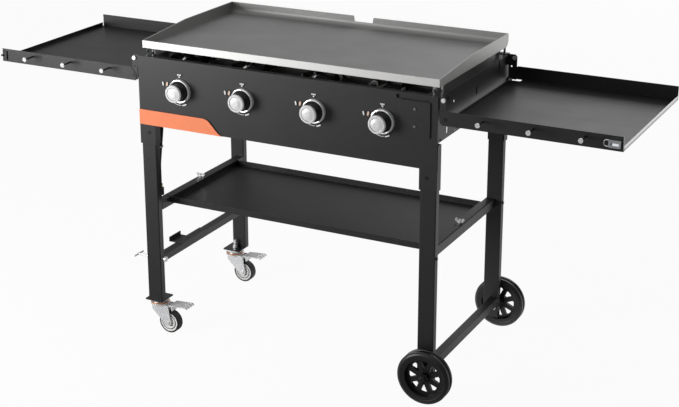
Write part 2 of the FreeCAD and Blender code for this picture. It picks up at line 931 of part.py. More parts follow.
def build_rail(label, left, right, top, height, wall_holes):
    """A square tube that runs from the front leg to the rear leg."""
    item = body(label)
    outline = sketch(item, "XZ_Plane", LEG_BACK)
    rectangle(outline, left, top + " - " + height, right, top)
    rectangle(
        outline,
        left + " + leg_wall",
        top + " - " + height + " + leg_wall",
        right + " - leg_wall",
        top + " - leg_wall",
    )
    pad(item, outline, "2 * " + LEG_BACK, back=True)
    for x, y, radius in wall_holes:
        hole = circle(sketch(item, "XY_Plane", top), x, y, radius)
        pocket(item, hole, "2 * leg_wall")
    return item


def build_tray():
    """Bottom tray: a shallow pan whose side flanges lie on the two middle rails."""
    item = body("bottom_tray")
    inner = LEG_IN + " - 1"
    low = "mid_rail_top - tray_drop"
    pan = sketch(item, "XY_Plane", low)
    rectangle(pan, "-(" + inner + ")", "-tray_depth / 2", inner, "tray_depth / 2")
    pad(item, pan, "tray_drop + tray_sheet")
    flange = rectangle(
        sketch(item, "XY_Plane", "mid_rail_top"),
        "-(" + inner + " + tray_flange)",
        "-tray_depth / 2 + 6",
        inner + " + tray_flange",
        "tray_depth / 2 - 6",
    )
    pad(item, flange, "tray_sheet")
    hollow = rectangle(
        sketch(item, "XY_Plane", low + " + tray_sheet"),
        "-(" + inner + " - tray_sheet)",
        "-tray_depth / 2 + tray_sheet",
        inner + " - tray_sheet",
        "tray_depth / 2 - tray_sheet",
    )
    pocket(item, hollow, back=True)
    holes = sketch(item, "XY_Plane", "mid_rail_top + tray_sheet")
    for side in (-1, 1):
        circle(holes, "%d * " % side + WING_X, WING_Y, "screw_radius + fit_gap")
    pocket(item, holes, "2 * tray_sheet")
    return item


WING_X = "(body_width / 2 - leg_inset - leg_width + 13)"
WING_Y = "-2"


def build_wing_screw(label, side):
    """Wing screw that holds a tray flange down on its rail."""
    base = "mid_rail_top + tray_sheet"
    shank = rod(label + "_shank", "screw_radius", "24", "0", "0", "-12")
    collar = rod(label + "_collar", "2 * screw_radius", "6", "0", "0", "0")
    wing = body(label + "_wing")
    outline = [
        ("-wing_span / 2", "wing_height * 0.6"),
        ("-wing_span / 2 + 3", "wing_height"),
        ("-wing_span / 4", "wing_height"),
        ("-screw_radius", "wing_height * 0.45"),
        ("screw_radius", "wing_height * 0.45"),
        ("wing_span / 4", "wing_height"),
        ("wing_span / 2 - 3", "wing_height"),
        ("wing_span / 2", "wing_height * 0.6"),
        ("wing_span / 4", "1"),
        ("-wing_span / 4", "1"),
    ]
    pad(wing, loop(sketch(wing, "XZ_Plane", "-1"), outline), "2")
    whole = fuse(label, [shank, collar, wing])
    return place(whole, "%d * " % side + WING_X, WING_Y, base)


def build_shelf():
    """Right side shelf: tall front and rear flanges with a bevelled inner corner, low outer wall."""
    item = body("shelf_right")
    half = "shelf_depth / 2"
    top = "shelf_base + flange_height"
    floor = rectangle(
        sketch(item, "XY_Plane", "shelf_base"), "shelf_floor_inner", "-shelf_depth / 2", "shelf_reach", half
    )
    pad(item, floor, "shelf_sheet")
    profile = [
        ("shelf_inner", "shelf_base"),
        ("shelf_reach", "shelf_base"),
        ("shelf_reach", top),
        ("shelf_inner + flange_bevel_run", top),
        ("shelf_inner", top + " - flange_bevel_drop"),
    ]
    for offset in (half, "shelf_sheet - shelf_depth / 2"):
        flange = loop(sketch(item, "XZ_Plane", offset), profile)
        pad(item, flange, "shelf_sheet", back=True)
    wall = rectangle(
        sketch(item, "XY_Plane", "shelf_base"),
        "shelf_reach - shelf_sheet",
        "-shelf_depth / 2 + end_relief",
        "shelf_reach",
        "shelf_depth / 2 - end_relief",
    )
    pad(item, wall, "end_wall_height")
    hem = rectangle(
        sketch(item, "XY_Plane", "shelf_base"),
        "shelf_floor_inner",
        "-shelf_depth / 2 + floor_notch",
        "shelf_floor_inner + shelf_sheet",
        "shelf_depth / 2 - floor_notch - 8",
    )
    pad(item, hem, "inner_hem")
    notch_end = "shelf_floor_inner + floor_notch"
    notches = sketch(item, "XY_Plane", "shelf_base")
    rectangle(
        notches,
        "shelf_floor_inner - 1",
        "-shelf_depth / 2 + shelf_sheet",
        notch_end,
        "-shelf_depth / 2 + floor_notch / 2",
    )
    rectangle(
        notches,
        "shelf_floor_inner - 1",
        "shelf_depth / 2 - floor_notch",
        notch_end,
        "shelf_depth / 2 - shelf_sheet",
    )
    pocket(item, notches, "2 * shelf_sheet", back=True)
    holes = circle(sketch(item, "XZ_Plane"), "pivot_out", "pivot_height", "pivot_radius + fit_gap")
    feature = pocket(item, holes)
    feature.SideType = "Symmetric"
    return item


def build_peg(name, x):
    """Tool peg on a front flange: a short rod with a disc head."""
    face = "-shelf_depth / 2"
    stem = rod(name + "_rod", "peg_radius", "peg_length", x, face, "peg_height", OUTWARD)
    head = rod(name + "_head", "peg_head", "3", x, face + " - peg_length + 3", "peg_height", OUTWARD)
    return fuse(name, [stem, head])


def build_pegs_right():
    pieces = [build_peg("peg_right_%d" % n, "peg_first + %d * peg_pitch" % n) for n in range(3)]
    return group("shelf_pegs_right", pieces)


def build_pegs_left():
    """Three pegs, and a plate with a small end knob at the outer end of the left front flange."""
    pieces = [build_peg("peg_left_%d" % n, "-(peg_first_left + %d * peg_pitch_left)" % n) for n in range(3)]
    left = "5 - shelf_reach"
    front = "-shelf_depth / 2 - hook_sheet"
    plate = block("hook_plate", left, front, "hook_foot", "hook_width", "hook_sheet", "hook_height")
    middle = "hook_foot + hook_height / 2"
    end_knob = rod("hook_knob_rod", "hook_knob", "8", "-shelf_reach", front, middle, ALONG_X)
    pieces.append(fuse("end_hook", [plate, end_knob]))
    return group("shelf_pegs_left", pieces)


def build_opener():
    """Bottle opener at the outer end of the right front flange, with a wire lip."""
    item = body("opener_box")
    right = "shelf_reach - opener_from_end"
    left = "(shelf_reach - opener_from_end - opener_width)"
    top = "opener_foot + opener_height"
    outline = rectangle(sketch(item, "XZ_Plane", "shelf_depth / 2"), left, "opener_foot", right, top)
    pad(item, outline, "opener_depth")
    rounded(item, "3", lambda e: runs_along(e, FRONT_TO_BACK))
    mouth = rectangle(
        sketch(item, "XZ_Plane", "shelf_depth / 2 + opener_depth"),
        left + " + opener_wall",
        "opener_foot + opener_wall + 1",
        right + " - opener_wall",
        top + " - opener_wall - 1",
    )
    pocket(item, mouth, "opener_depth - 4")
    y = "-shelf_depth / 2 - opener_depth * 0.7"
    high = top + " - opener_wire - 0.5"
    low = "opener_foot + opener_wire + 0.5"
    bow = left + " - 8 * opener_wire"
    ends = [(left + " + 1", y, high), (bow, y, high), (bow, y, low), (left + " + 1", y, low)]
    wire = tube("opener_wire", ends, "4 * opener_wire", "opener_wire")
    return fuse("bottle_opener", [item, wire])


def build_bracket(label, reach):
    """Right shelf bracket: an ear beside the shelf flange and a leg on the side panel."""
    item = body(label)
    face = "shelf_depth / 2 - shelf_sheet - ear_gap"
    ear = [
        (WIDE, "ear_split"),
        ("pivot_out - 15", "ear_split"),
        ("pivot_out - 15", "ear_foot"),
        ("ear_boss", "ear_foot"),
        ("ear_boss", "pivot_height + 9"),
        (reach, "pivot_height + 17"),
        (reach, "ear_top - 6"),
        (reach + " - 5", "ear_top"),
        (WIDE, "ear_top"),
    ]
    outline = loop(sketch(item, "XZ_Plane", face), ear)
    pad(item, outline, "sheet_wall", back=True)
    leg = rectangle(
        sketch(item, "YZ_Plane", WIDE),
        "-(" + face + ") + sheet_wall",
        "ear_split",
        "-(" + face + ") + bracket_leg",
        "side_top",
    )
    pad(item, leg, "sheet_wall")
    holes = sketch(item, "XZ_Plane", face)
    circle(holes, "pivot_out - 6", "ear_split - 3", "2.5")
    pocket(item, holes, "2 * sheet_wall")
    return item


def build_brackets():
    """The four shelf brackets: the rear pair stands further in than the front pair."""
    front_right = build_bracket("bracket_front_right", "ear_out")
    flipped = mirrored("bracket_flipped", build_bracket("bracket_rear_plain", "ear_out_rear"), FRONT_TO_BACK)
    rear_right = group("bracket_rear_right", [flipped])
    place(rear_right, "0", "ear_rear - (shelf_depth / 2 - shelf_sheet - ear_gap)", "0")
    pieces = [
        front_right,
        rear_right,
        mirrored("bracket_front_left", front_right, ACROSS),
        mirrored("bracket_rear_left", rear_right, ACROSS),
    ]
    return group("shelf_brackets", pieces)


PIN_HEAD = "pivot_radius + 1.5"


def build_pivots():
    """Shoulder bolts on which the shelves turn, and the lock screws above them."""
    pieces = []
    face = "(shelf_depth / 2)"
    inner = "(shelf_depth / 2 - shelf_sheet - ear_gap)"
    for side in (-1, 1):
        x = "%d * pivot_out" % side
        name = "right" if side > 0 else "left"
        start = "-" + face + " - ear_gap"
        length = "shelf_sheet + 2 * ear_gap"
        front_pin = rod("pin_front_" + name, "pivot_radius", length, x, start, "pivot_height", ALONG_Y)
        front_head = rod("pin_head_" + name, PIN_HEAD, "shelf_sheet", x, start, "pivot_height", OUTWARD)
        pieces.append(fuse("pivot_front_" + name, [front_pin, front_head]))
        length = face + " + ear_gap - ear_rear"
        end = face + " + ear_gap"
        rear_pin = rod("pin_rear_" + name, "pivot_radius", length, x, "ear_rear", "pivot_height", ALONG_Y)
        rear_head = rod("pin_cap_" + name, PIN_HEAD, "shelf_sheet", x, end, "pivot_height", ALONG_Y)
        pieces.append(fuse("pivot_rear_" + name, [rear_pin, rear_head]))
        ears = [("front", "ear_out", "-" + inner), ("rear", "ear_out_rear", "ear_rear - sheet_wall")]
        for tag, out, y in ears:
            label = "lock_%s_%s" % (tag, name)
            screw_x = "%d * (%s - lock_screw_radius - 1.5)" % (side, out)
            pieces.append(rod(label, "lock_screw_radius", "4", screw_x, y, "lock_screw_height", OUTWARD))
    return group("shelf_bolts", pieces)


def build_plate():
    """Griddle plate: a pan with a low front wall, raised side and rear walls and a grease notch."""
    item = body("griddle_plate")
    top = PLATE_BASE + " + back_wall"
    profile = [
        (PLATE_FRONT, PLATE_BASE),
        (PLATE_BACK, PLATE_BASE),
        (PLATE_BACK, top),
        (PLATE_FRONT + " + wall_slope_run", top),
        (PLATE_FRONT, PLATE_BASE + " + front_wall"),
    ]
    pad(item, loop(sketch(item, "YZ_Plane", "-plate_width / 2"), profile), "plate_width")
    front_in = PLATE_FRONT + " + plate_wall"
    back_in = PLATE_BACK + " - plate_wall"
    floor = PLATE_BASE + " + plate_floor"
    hollow = sketch(item, "YZ_Plane", "-(plate_width / 2 - plate_wall)")
    rectangle(hollow, front_in, floor, back_in, top + " + 1")
    pocket(item, hollow, "plate_width - 2 * plate_wall", back=True)

    def on_line(edge, y, z):
        middle = edge.CenterOfMass
        return runs_along(edge, ACROSS) and near(middle.y, number(y)) and near(middle.z, number(z))

    rounded(item, "plate_rear_round - plate_wall", lambda edge: on_line(edge, back_in, floor))
    rounded(item, "plate_rear_round", lambda edge: on_line(edge, PLATE_BACK, PLATE_BASE))
    notch = sketch(item, "XZ_Plane", "-(" + PLATE_BACK + ")")
    corners = [
        ("-notch_top / 2", top + " + 1"),
        ("-notch_foot / 2", top + " - notch_depth"),
        ("notch_foot / 2", top + " - notch_depth"),
        ("notch_top / 2", top + " + 1"),
    ]
    pocket(item, loop(notch, corners), "2 * plate_wall", back=True)
    return item


def build_plate_feet():
    """Feet and locating studs under the plate's corners, standing on the side panels' lips."""
    pieces = []
    rise = PLATE_BASE + " - side_top"
    front = PLATE_FRONT + " + foot_from_edge"
    rear = PLATE_BACK + " - foot_from_edge"
    for side in (-1, 1):
        for end, y in (("front", front), ("rear", rear)):
            name = "%s_%s" % (end, "right" if side > 0 else "left")
            x = "%d * (plate_width / 2 - foot_inset + plate_side_gap)" % side
            pieces.append(rod("foot_" + name, "foot_radius", rise, x, y, "side_top"))
            stud_x = "%d * (body_width / 2 - stud_radius - 3)" % side
            pieces.append(rod("stud_" + name, "stud_radius", rise, stud_x, y, "side_top"))
    return group("plate_feet", pieces)


def build_cup():
    """Grease cup: a deep drawn pan with a rim that slides on the hanger's ledges."""
    item = body("grease_cup")
    front = REAR + " + hanger_gap"
    back = REAR + " + cup_depth + hanger_gap"
    low = "cup_top - cup_height"
    outline = rectangle(sketch(item, "XY_Plane", low), "-cup_width / 2", front, "cup_width / 2", back)
    pad(item, outline, "cup_height")
    inside = ("cup_width / 2 - cup_wall", front + " + cup_wall", back + " - cup_wall")
    hollow = sketch(item, "XY_Plane", low + " + cup_wall")
    rectangle(hollow, "-(" + inside[0] + ")", inside[1], inside[0], inside[2])
    pocket(item, hollow, back=True)

    def upright(edge, half_width):
        middle = edge.CenterOfMass
        return runs_along(edge, Vector(0, 0, 1)) and near(abs(middle.x), number(half_width))

    rounded(item, "cup_corner - cup_wall", lambda e: upright(e, inside[0]))
    rounded(item, "cup_corner", lambda e: upright(e, "cup_width / 2"))
    rim = sketch(item, "XY_Plane", "cup_top - cup_wall")
    rectangle(rim, "-cup_width / 2 - cup_rim", front, "cup_width / 2 + cup_rim", back)
    rectangle(rim, "-(" + inside[0] + ")", inside[1], inside[0], inside[2])
    pad(item, rim, "cup_wall")
    return item


def build_wheel(label, side):
    """Moulded wheel: hub, eight spokes and a grooved rim with bevelled shoulders."""
    item = turned(
        label,
        [
            ("axle_radius + fit_gap", "-wheel_width / 2"),
            ("hub_radius", "-wheel_width / 2"),
            ("hub_radius", "-web_half - 1"),
            ("rim_inner", "-web_half"),
            ("rim_inner + 3", "-wheel_width / 2 + 3"),
            ("wheel_radius - 8", "-wheel_width / 2 + 1"),
            ("wheel_radius", "-wheel_width / 2 + 7"),
            ("wheel_radius", "-5"),
            ("wheel_radius - 2.5", "-4"),
            ("wheel_radius - 2.5", "4"),
            ("wheel_radius", "5"),
            ("wheel_radius", "wheel_width / 2 - 7"),
            ("wheel_radius - 8", "wheel_width / 2 - 1"),
            ("rim_inner + 3", "wheel_width / 2 - 3"),
            ("rim_inner", "web_half"),
            ("hub_radius", "web_half + 1"),
            ("hub_radius", "wheel_width / 2"),
            ("axle_radius + fit_gap", "wheel_width / 2"),
        ],
    )
    inner = "(hub_radius + 6)"
    outer = "(rim_inner - 4)"
    half = "(180 / spoke_count)"
    spoke_half = "spoke_width / 2"
    near_x = "%s * cos(%s) + 1" % (inner, half)
    near_y = "(%s * sin(%s) - %s)" % (inner, half, spoke_half)
    far_x = "%s * cos(%s)" % (outer, half)
    far_y = "(%s * sin(%s) - %s)" % (outer, half, spoke_half)
    mid_x = "%s * cos(%s / 3)" % (outer, half)
    mid_y = "%s * sin(%s / 3)" % (outer, half)
    window = sketch(item, "XY_Plane", "-wheel_width")
    corners = [
        (near_x, "-" + near_y),
        (far_x, "-" + far_y),
        (mid_x, "-" + mid_y),
        (mid_x, mid_y),
        (far_x, far_y),
        (near_x, near_y),
    ]
    loop(window, corners)
    opening = pocket(item, window, back=True)
    doc.recompute()
    pattern = item.newObject("PartDesign::PolarPattern", label + "_spokes")
    pattern.Originals = [opening]
    pattern.Axis = (window, ["N_Axis"])
    pattern.Angle = 360
    bind(pattern, Occurrences="spoke_count")
    item.Tip = pattern
    place(item, "axle_out", "%d * wheel_center" % side, "wheel_radius", *OUTWARD)
    return item


def build_axle():
    """Two stub axles through the wheel legs, each with a nut, a spacer and a domed cap."""
    pieces = []
    inner = LEG_BACK + " - axle_end"
    cap_height = "axle_cap_reach - wheel_center - wheel_width / 2"
    cap_start = "(wheel_center + wheel_width / 2 + 0.4)"
    for side, direction in ((-1, OUTWARD), (1, ALONG_Y)):
        name = "front" if side < 0 else "rear"
        cap = turned(
            "axle_cap_" + name,
            [
                ("0", "0"),
                ("axle_cap_radius", "0"),
                ("axle_cap_radius", "2"),
                ("axle_cap_radius * 0.8", cap_height + " - 1.8"),
                ("axle_cap_radius * 0.4", cap_height + " - 0.4"),
                ("0", cap_height + " - 0.4"),
            ],
        )
        place(cap, "axle_out", "%d * " % side + cap_start, "wheel_radius", *direction)
        spacer = rod(
            "axle_spacer_" + name,
            "axle_radius + 4",
            "wheel_center - wheel_width / 2 - 0.4 - " + LEG_FACE,
            "axle_out",
            "%d * " % side + LEG_FACE,
            "wheel_radius",
            direction,
        )
        length = "axle_cap_reach - 4 - (%s)" % inner
        start = "%d * (%s)" % (side, inner)
        stub = rod("axle_rod_" + name, "axle_radius", length, "axle_out", start, "wheel_radius", direction)
        nut_start = "%d * (%s - 6)" % (side, LEG_BACK)
        nut = hexagon("axle_nut_" + name, "axle_nut", "6", "axle_out", nut_start, "wheel_radius", direction)
        pieces.append(fuse("stub_axle_" + name, [stub, cap, spacer, nut]))
    return group("wheel_axle", pieces)


def build_caster_mount(label, end):
    """Caster top plate under the leg, with its ball race, king pin, and the pin's stud and nut."""
    low = "caster_plate_top - caster_plate_sheet"
    plate = body(label + "_plate")
    outline = rectangle(
        sketch(plate, "XY_Plane", low),
        "-caster_plate_length / 2",
        "%d * caster_plate_inner" % -end,
        "caster_plate_length / 2",
        "%d * (%s - caster_line)" % (end, LEG_FACE),
    )
    pad(plate, outline, "caster_plate_sheet")
    rounded(plate, "4", lambda e: runs_along(e, Vector(0, 0, 1)))
    race = turned(
        label + "_race",
        [
            ("0", low),
            ("race_radius", low),
            ("race_radius", low + " - race_height / 2"),
            ("race_radius - 4", low + " - race_height"),
            ("kingpin_radius", low + " - race_height"),
            ("kingpin_radius", low + " - race_height - 6"),
            ("0", low + " - race_height - 6"),
        ],
    )
    stud = rod(label + "_stud", "kingpin_radius - 1.5", "king_stud", "0", "0", "caster_plate_top")
    nut = hexagon(label + "_nut", "king_nut", "7", "0", "0", "caster_plate_top")
    whole = fuse(label, [plate, race, stud, nut])
    return place(whole, "-" + CASTER_OUT, "%d * caster_line" % end, "0")


FORK_TOP = "(caster_plate_top - caster_plate_sheet - race_height - 0.3)"


def build_caster_fork(label, end):
    """Caster fork: a round crown, two tapered cheeks, the wheel's axle and the pedal's pin."""
    crown = turned(
        label + "_crown",
        [
            ("kingpin_radius + fit_gap", FORK_TOP),
            ("fork_top_radius - 4", FORK_TOP),
            ("fork_top_radius", FORK_TOP + " - 3"),
            ("fork_top_radius", FORK_TOP + " - 6"),
            ("kingpin_radius + fit_gap", FORK_TOP + " - 6"),
        ],
    )
    cheeks = body(label + "_cheeks")
    outer = "(fork_space / 2 + fork_sheet)"
    outline = [
        ("-18", FORK_TOP + " - 5"),
        ("36", FORK_TOP + " - 5"),
        ("caster_trail + 3", "pedal_pin_height - 4"),
        ("caster_trail + 9", "caster_radius + 4"),
        ("caster_trail + 8", "caster_radius - 7"),
        ("caster_trail", "caster_radius - 10"),
        ("caster_trail - 10", "caster_radius - 6"),
        ("-18", "pedal_pin_height - 10"),
    ]
    pad(cheeks, loop(sketch(cheeks, "XZ_Plane", "-" + outer), outline), "2 * " + outer)
    gap = rectangle(sketch(cheeks, "XY_Plane"), "-40", "-fork_space / 2", "90", "fork_space / 2")
    pocket(cheeks, gap, back=True)
    axle = rod(
        label + "_axle",
        "caster_axle_radius",
        "2 * %s + 6" % outer,
        "caster_trail",
        "-%s - 3" % outer,
        "caster_radius",
        ALONG_Y,
    )
    lever_pin = rod(
        label + "_pin",
        "pedal_pin_radius",
        "2 * " + outer,
        "pedal_pin_out",
        "-" + outer,
        "pedal_pin_height",
        ALONG_Y,
    )
    whole = fuse(label, [crown, cheeks, axle, lever_pin])
    return place(whole, "-" + CASTER_OUT, "%d * caster_line" % end, "0")


def build_caster_rim(label, end):
    """Caster wheel centre: hub, dished web and two raised rings on each side."""
    side = [
        ("caster_axle_radius + fit_gap", "1"),
        ("caster_axle_radius + 4", "1"),
        ("caster_axle_radius + 5", "-3"),
        ("caster_rim_radius - 14", "-3"),
        ("caster_rim_radius - 13", "-1"),
        ("caster_rim_radius - 8", "-1"),
        ("caster_rim_radius - 7", "-3"),
        ("caster_rim_radius - 5", "-3"),
        ("caster_rim_radius - 4", "-1"),
        ("caster_rim_radius", "-1"),
    ]
    outline = [(radius, "-(caster_width / 2 + %s)" % out) for radius, out in side]
    outline += [(radius, "caster_width / 2 + %s" % out) for radius, out in reversed(side)]
    item = turned(label, outline)
    return place(item, "caster_trail - " + CASTER_OUT, "%d * caster_line" % end, "caster_radius", *OUTWARD)


def build_caster_tyre(label, end):
    """Caster tyre: a thin band with bevelled shoulders."""
    item = turned(
        label,
        [
            ("caster_rim_radius", "-caster_width / 2 + 1"),
            ("caster_radius - 2", "-caster_width / 2 + 1"),
            ("caster_radius", "-caster_width / 2 + 3"),
            ("caster_radius", "caster_width / 2 - 3"),
            ("caster_radius - 2", "caster_width / 2 - 1"),
            ("caster_rim_radius", "caster_width / 2 - 1"),
        ],
    )
    return place(item, "caster_trail - " + CASTER_OUT, "%d * caster_line" % end, "caster_radius", *OUTWARD)


def build_pedal(label, end):
    """Brake pedal: a barrel on the fork's pin, a neck with a shoe and a foot plate with a comb edge."""
    neck_half = "(fork_space / 2 - 1)"
    barrel = rod(
        label + "_barrel",
        "pedal_pin_radius + 3",
        "2 * " + neck_half,
        "pedal_pin_out",
        "-" + neck_half,
        "pedal_pin_height",
        ALONG_Y,
    )
    neck = body(label + "_neck")
    outline = [
        ("pedal_pin_out - 2", "pedal_pin_height + 4"),
        ("pedal_pin_out + 16", "pedal_pin_height + 12"),
        ("pedal_pin_out + 20", "pedal_pin_height + 12"),
        ("pedal_pin_out + 20", "pedal_pin_height + 6"),
        ("pedal_pin_out + 20", "pedal_pin_height - 8"),
        ("pedal_pin_out + 17", "pedal_pin_height - 8"),
        ("pedal_pin_out + 15", "pedal_pin_height + 6"),
        ("pedal_pin_out + 2", "pedal_pin_height - 1"),
    ]
    pad(neck, loop(sketch(neck, "XZ_Plane", "-" + neck_half), outline), "2 * " + neck_half)
    plate = body(label + "_plate")
    start = "pedal_pin_out + 14"
    side = [
        (start, "pedal_pin_height + 9"),
        ("pedal_reach - 6", "pedal_pin_height + 13"),
        ("pedal_reach", "pedal_pin_height + 10"),
        ("pedal_reach", "pedal_pin_height + 13"),
        ("pedal_reach - 5", "pedal_pin_height + 16"),
        (start, "pedal_pin_height + 12"),
    ]
    pad(plate, loop(sketch(plate, "XZ_Plane", "-pedal_width / 2"), side), "pedal_width")
    slots = sketch(plate, "XY_Plane")
    for n in (-1, 0, 1):
        middle = "%d * 0.3 * pedal_width" % n
        low = middle + " - pedal_slot / 2"
        high = middle + " + pedal_slot / 2"
        rectangle(slots, "pedal_reach - pedal_slot_length", low, "pedal_reach + 1", high)
    pocket(plate, slots, back=True)
    solid = fuse(label + "_solid", [barrel, neck, plate])
    bore = rod(
        label + "_bore",
        "pedal_pin_radius + fit_gap",
        "2 * fork_space",
        "pedal_pin_out",
        "-fork_space",
        "pedal_pin_height",
        ALONG_Y,
    )
    whole = cut(label, solid, bore)
    return place(whole, "-" + CASTER_OUT, "%d * caster_line" % end, "0")


def build_tank_bracket():
    """Bracket on the left lower rail with an outboard arm and an upturned lip for the tank's foot."""
    item = body("tank_bracket")
    inner = "-" + LEG_IN
    base = rectangle(
        sketch(item, "XY_Plane", "low_rail_top"),
        "-" + LEG_IN + " - rail_side",
        "-bracket_front",
        inner,
        "bracket_length - bracket_front",
    )
    pad(item, base, "2.5")
    arm = rectangle(
        sketch(item, "XY_Plane", "low_rail_top"),
        "-" + LEG_IN + " - rail_side - bracket_reach",
        "-bracket_front",
        inner,
        "bracket_arm - bracket_front",
    )
    pad(item, arm, "2.5")
    lip = rectangle(
        sketch(item, "XY_Plane", "low_rail_top"),
        "-" + LEG_IN + " - rail_side - bracket_reach",
        "-bracket_front",
        "-" + LEG_IN + " - rail_side - bracket_reach + 2.5",
        "bracket_arm - bracket_front",
    )
    pad(item, lip, "bracket_lip")
    holes = sketch(item, "XY_Plane", "low_rail_top")
    for share in (0.35, 0.6, 0.85):
        circle(holes, "-" + LEG_IN + " - rail_side / 2", "bracket_length * %s - bracket_front" % share, "3")
    pocket(item, holes, "6", back=True)
    return item


def build_clamp_screw():
    """Clamp screw through the front left leg, with a cross bar outside and a disc inside."""
    y = "-" + LEG_AXIS
    length = "clamp_reach - clamp_inner"
    shank = rod("clamp_shank", "clamp_radius", length, "-clamp_reach", y, "clamp_height", ALONG_X)
    bar_y = y + " - tee_length / 2"
    bar_x = "3 - clamp_reach"
    bar = rod("clamp_bar", "clamp_radius - 0.5", "tee_length", bar_x, bar_y, "clamp_height", ALONG_Y)
    disc = rod("clamp_disc", "8", "5", "-clamp_inner - 5", y, "clamp_height", ALONG_X)
    return fuse("tank_clamp_screw", [shank, bar, disc])


HOSE_TOP = "(knob_height - manifold_drop - inlet_drop - 2)"
HOSE_LOW_X = "(-manifold_left - hose_shift)"


def build_hose():
    """Supply hose from the inlet down behind the front left leg, with one easy bend outwards."""
    return tube(
        "gas_hose",
        [
            ("-manifold_left", MANIFOLD_Y, HOSE_TOP),
            ("-manifold_left", MANIFOLD_Y, "hose_bend_top"),
            (HOSE_LOW_X, MANIFOLD_Y, "hose_bend_foot"),
            (HOSE_LOW_X, MANIFOLD_Y, "hose_foot"),
        ],
        "hose_bend",
        "hose_radius",
    )


def build_hose_nipple():
    """Crimped ferrule and barbed tail at the hose's lower end."""
    item = turned(
        "hose_nipple",
        [
            ("0", "0"),
            ("hose_radius + 2", "0"),
            ("hose_radius + 2", "-8"),
            ("hose_radius - 1.5", "-10"),
            ("hose_radius - 1.5", "-10 - tail_length"),
            ("0", "-10 - tail_length"),
        ],
    )
    return place(item, HOSE_LOW_X, MANIFOLD_Y, "hose_foot")


def build_coupling_nut():
    """Hand nut that turns freely on the hose's tail."""
    foot = "-9 - tail_length"
    grip = hexagon("nut_grip", "hose_radius + 7", "nut_length", "0", "0", foot)
    bore = rod("nut_bore", "hose_radius - 1.5 + fit_gap", "nut_length + 10", "0", "0", foot + " - 5")
    item = cut("coupling_nut", grip, bore)
    return place(item, HOSE_LOW_X, MANIFOLD_Y, "hose_foot")


def build_tie():
    """Tie round the hose, half way along its slanting stretch."""
    tie_x = "(-manifold_left - hose_shift / 2)"
    tie_z = "(hose_bend_top + hose_bend_foot - tie_width) / 2"
    ring = rod("tie_ring", "hose_radius + 2.5", "tie_width", tie_x, MANIFOLD_Y, tie_z)
    way = rod("tie_way", "hose_radius + tie_gap", "2 * tie_width", tie_x, MANIFOLD_Y, tie_z + " - 2")
    return cut("hose_tie", ring, way)


def build_frame_bolts():
    """Hexagon and screw heads that hold the legs, sleeves, rails, brackets and panels."""
    pieces = []
    rail_height = "mid_rail_top - rail_side / 2"
    for side in (-1, 1):
        name = "right" if side > 0 else "left"
        sleeve_x = "%d * (%s - 4)" % (side, LEG_MIDDLE)
        turn = (Vector(0, 1, 0), 90 * side)
        for end, direction in ((-1, OUTWARD), (1, ALONG_Y)):
            tag = "%s_%s" % ("front" if end < 0 else "rear", name)
            face = "%d * body_depth / 2" % end
            sleeve_z = "sleeve_foot + 35.5"
            pieces.append(hexagon("sleeve_bolt_" + tag, "4.5", "2", sleeve_x, face, sleeve_z, direction))
            leg_x = "%d * " % side + LEG_OUT
            leg_y = "%d * " % end + LEG_AXIS
            pieces.append(hexagon("rail_bolt_" + tag, "5", "3", leg_x, leg_y, rail_height, turn))
        outer = "%d * (body_width / 2 + sheet_wall)" % side
        lower = "%d * (body_width / 2 - side_step)" % side
        spots = [
            ("front", "bracket_screw_setback - shelf_depth / 2"),
            ("rear", "ear_rear - bracket_screw_setback"),
        ]
        for tag, y in spots:
            label = "bracket_screw_%s_%s" % (tag, name)
            pieces.append(rod(label, "4", "2", outer, y, "bracket_screw_height", turn))
        side_y = FRONT + " + side_bolt_setback"
        pieces.append(rod("side_bolt_" + name, "3", "2", lower, side_y, "side_bolt_height", turn))
    for z in ("field_screw_high", "field_screw_low"):
        x = "(field_left + field_right) / 2"
        pieces.append(rod(z + "_head", "3.5", "2", x, FRONT + " - field_rise", z, OUTWARD))
    return group("frame_bolts", pieces)


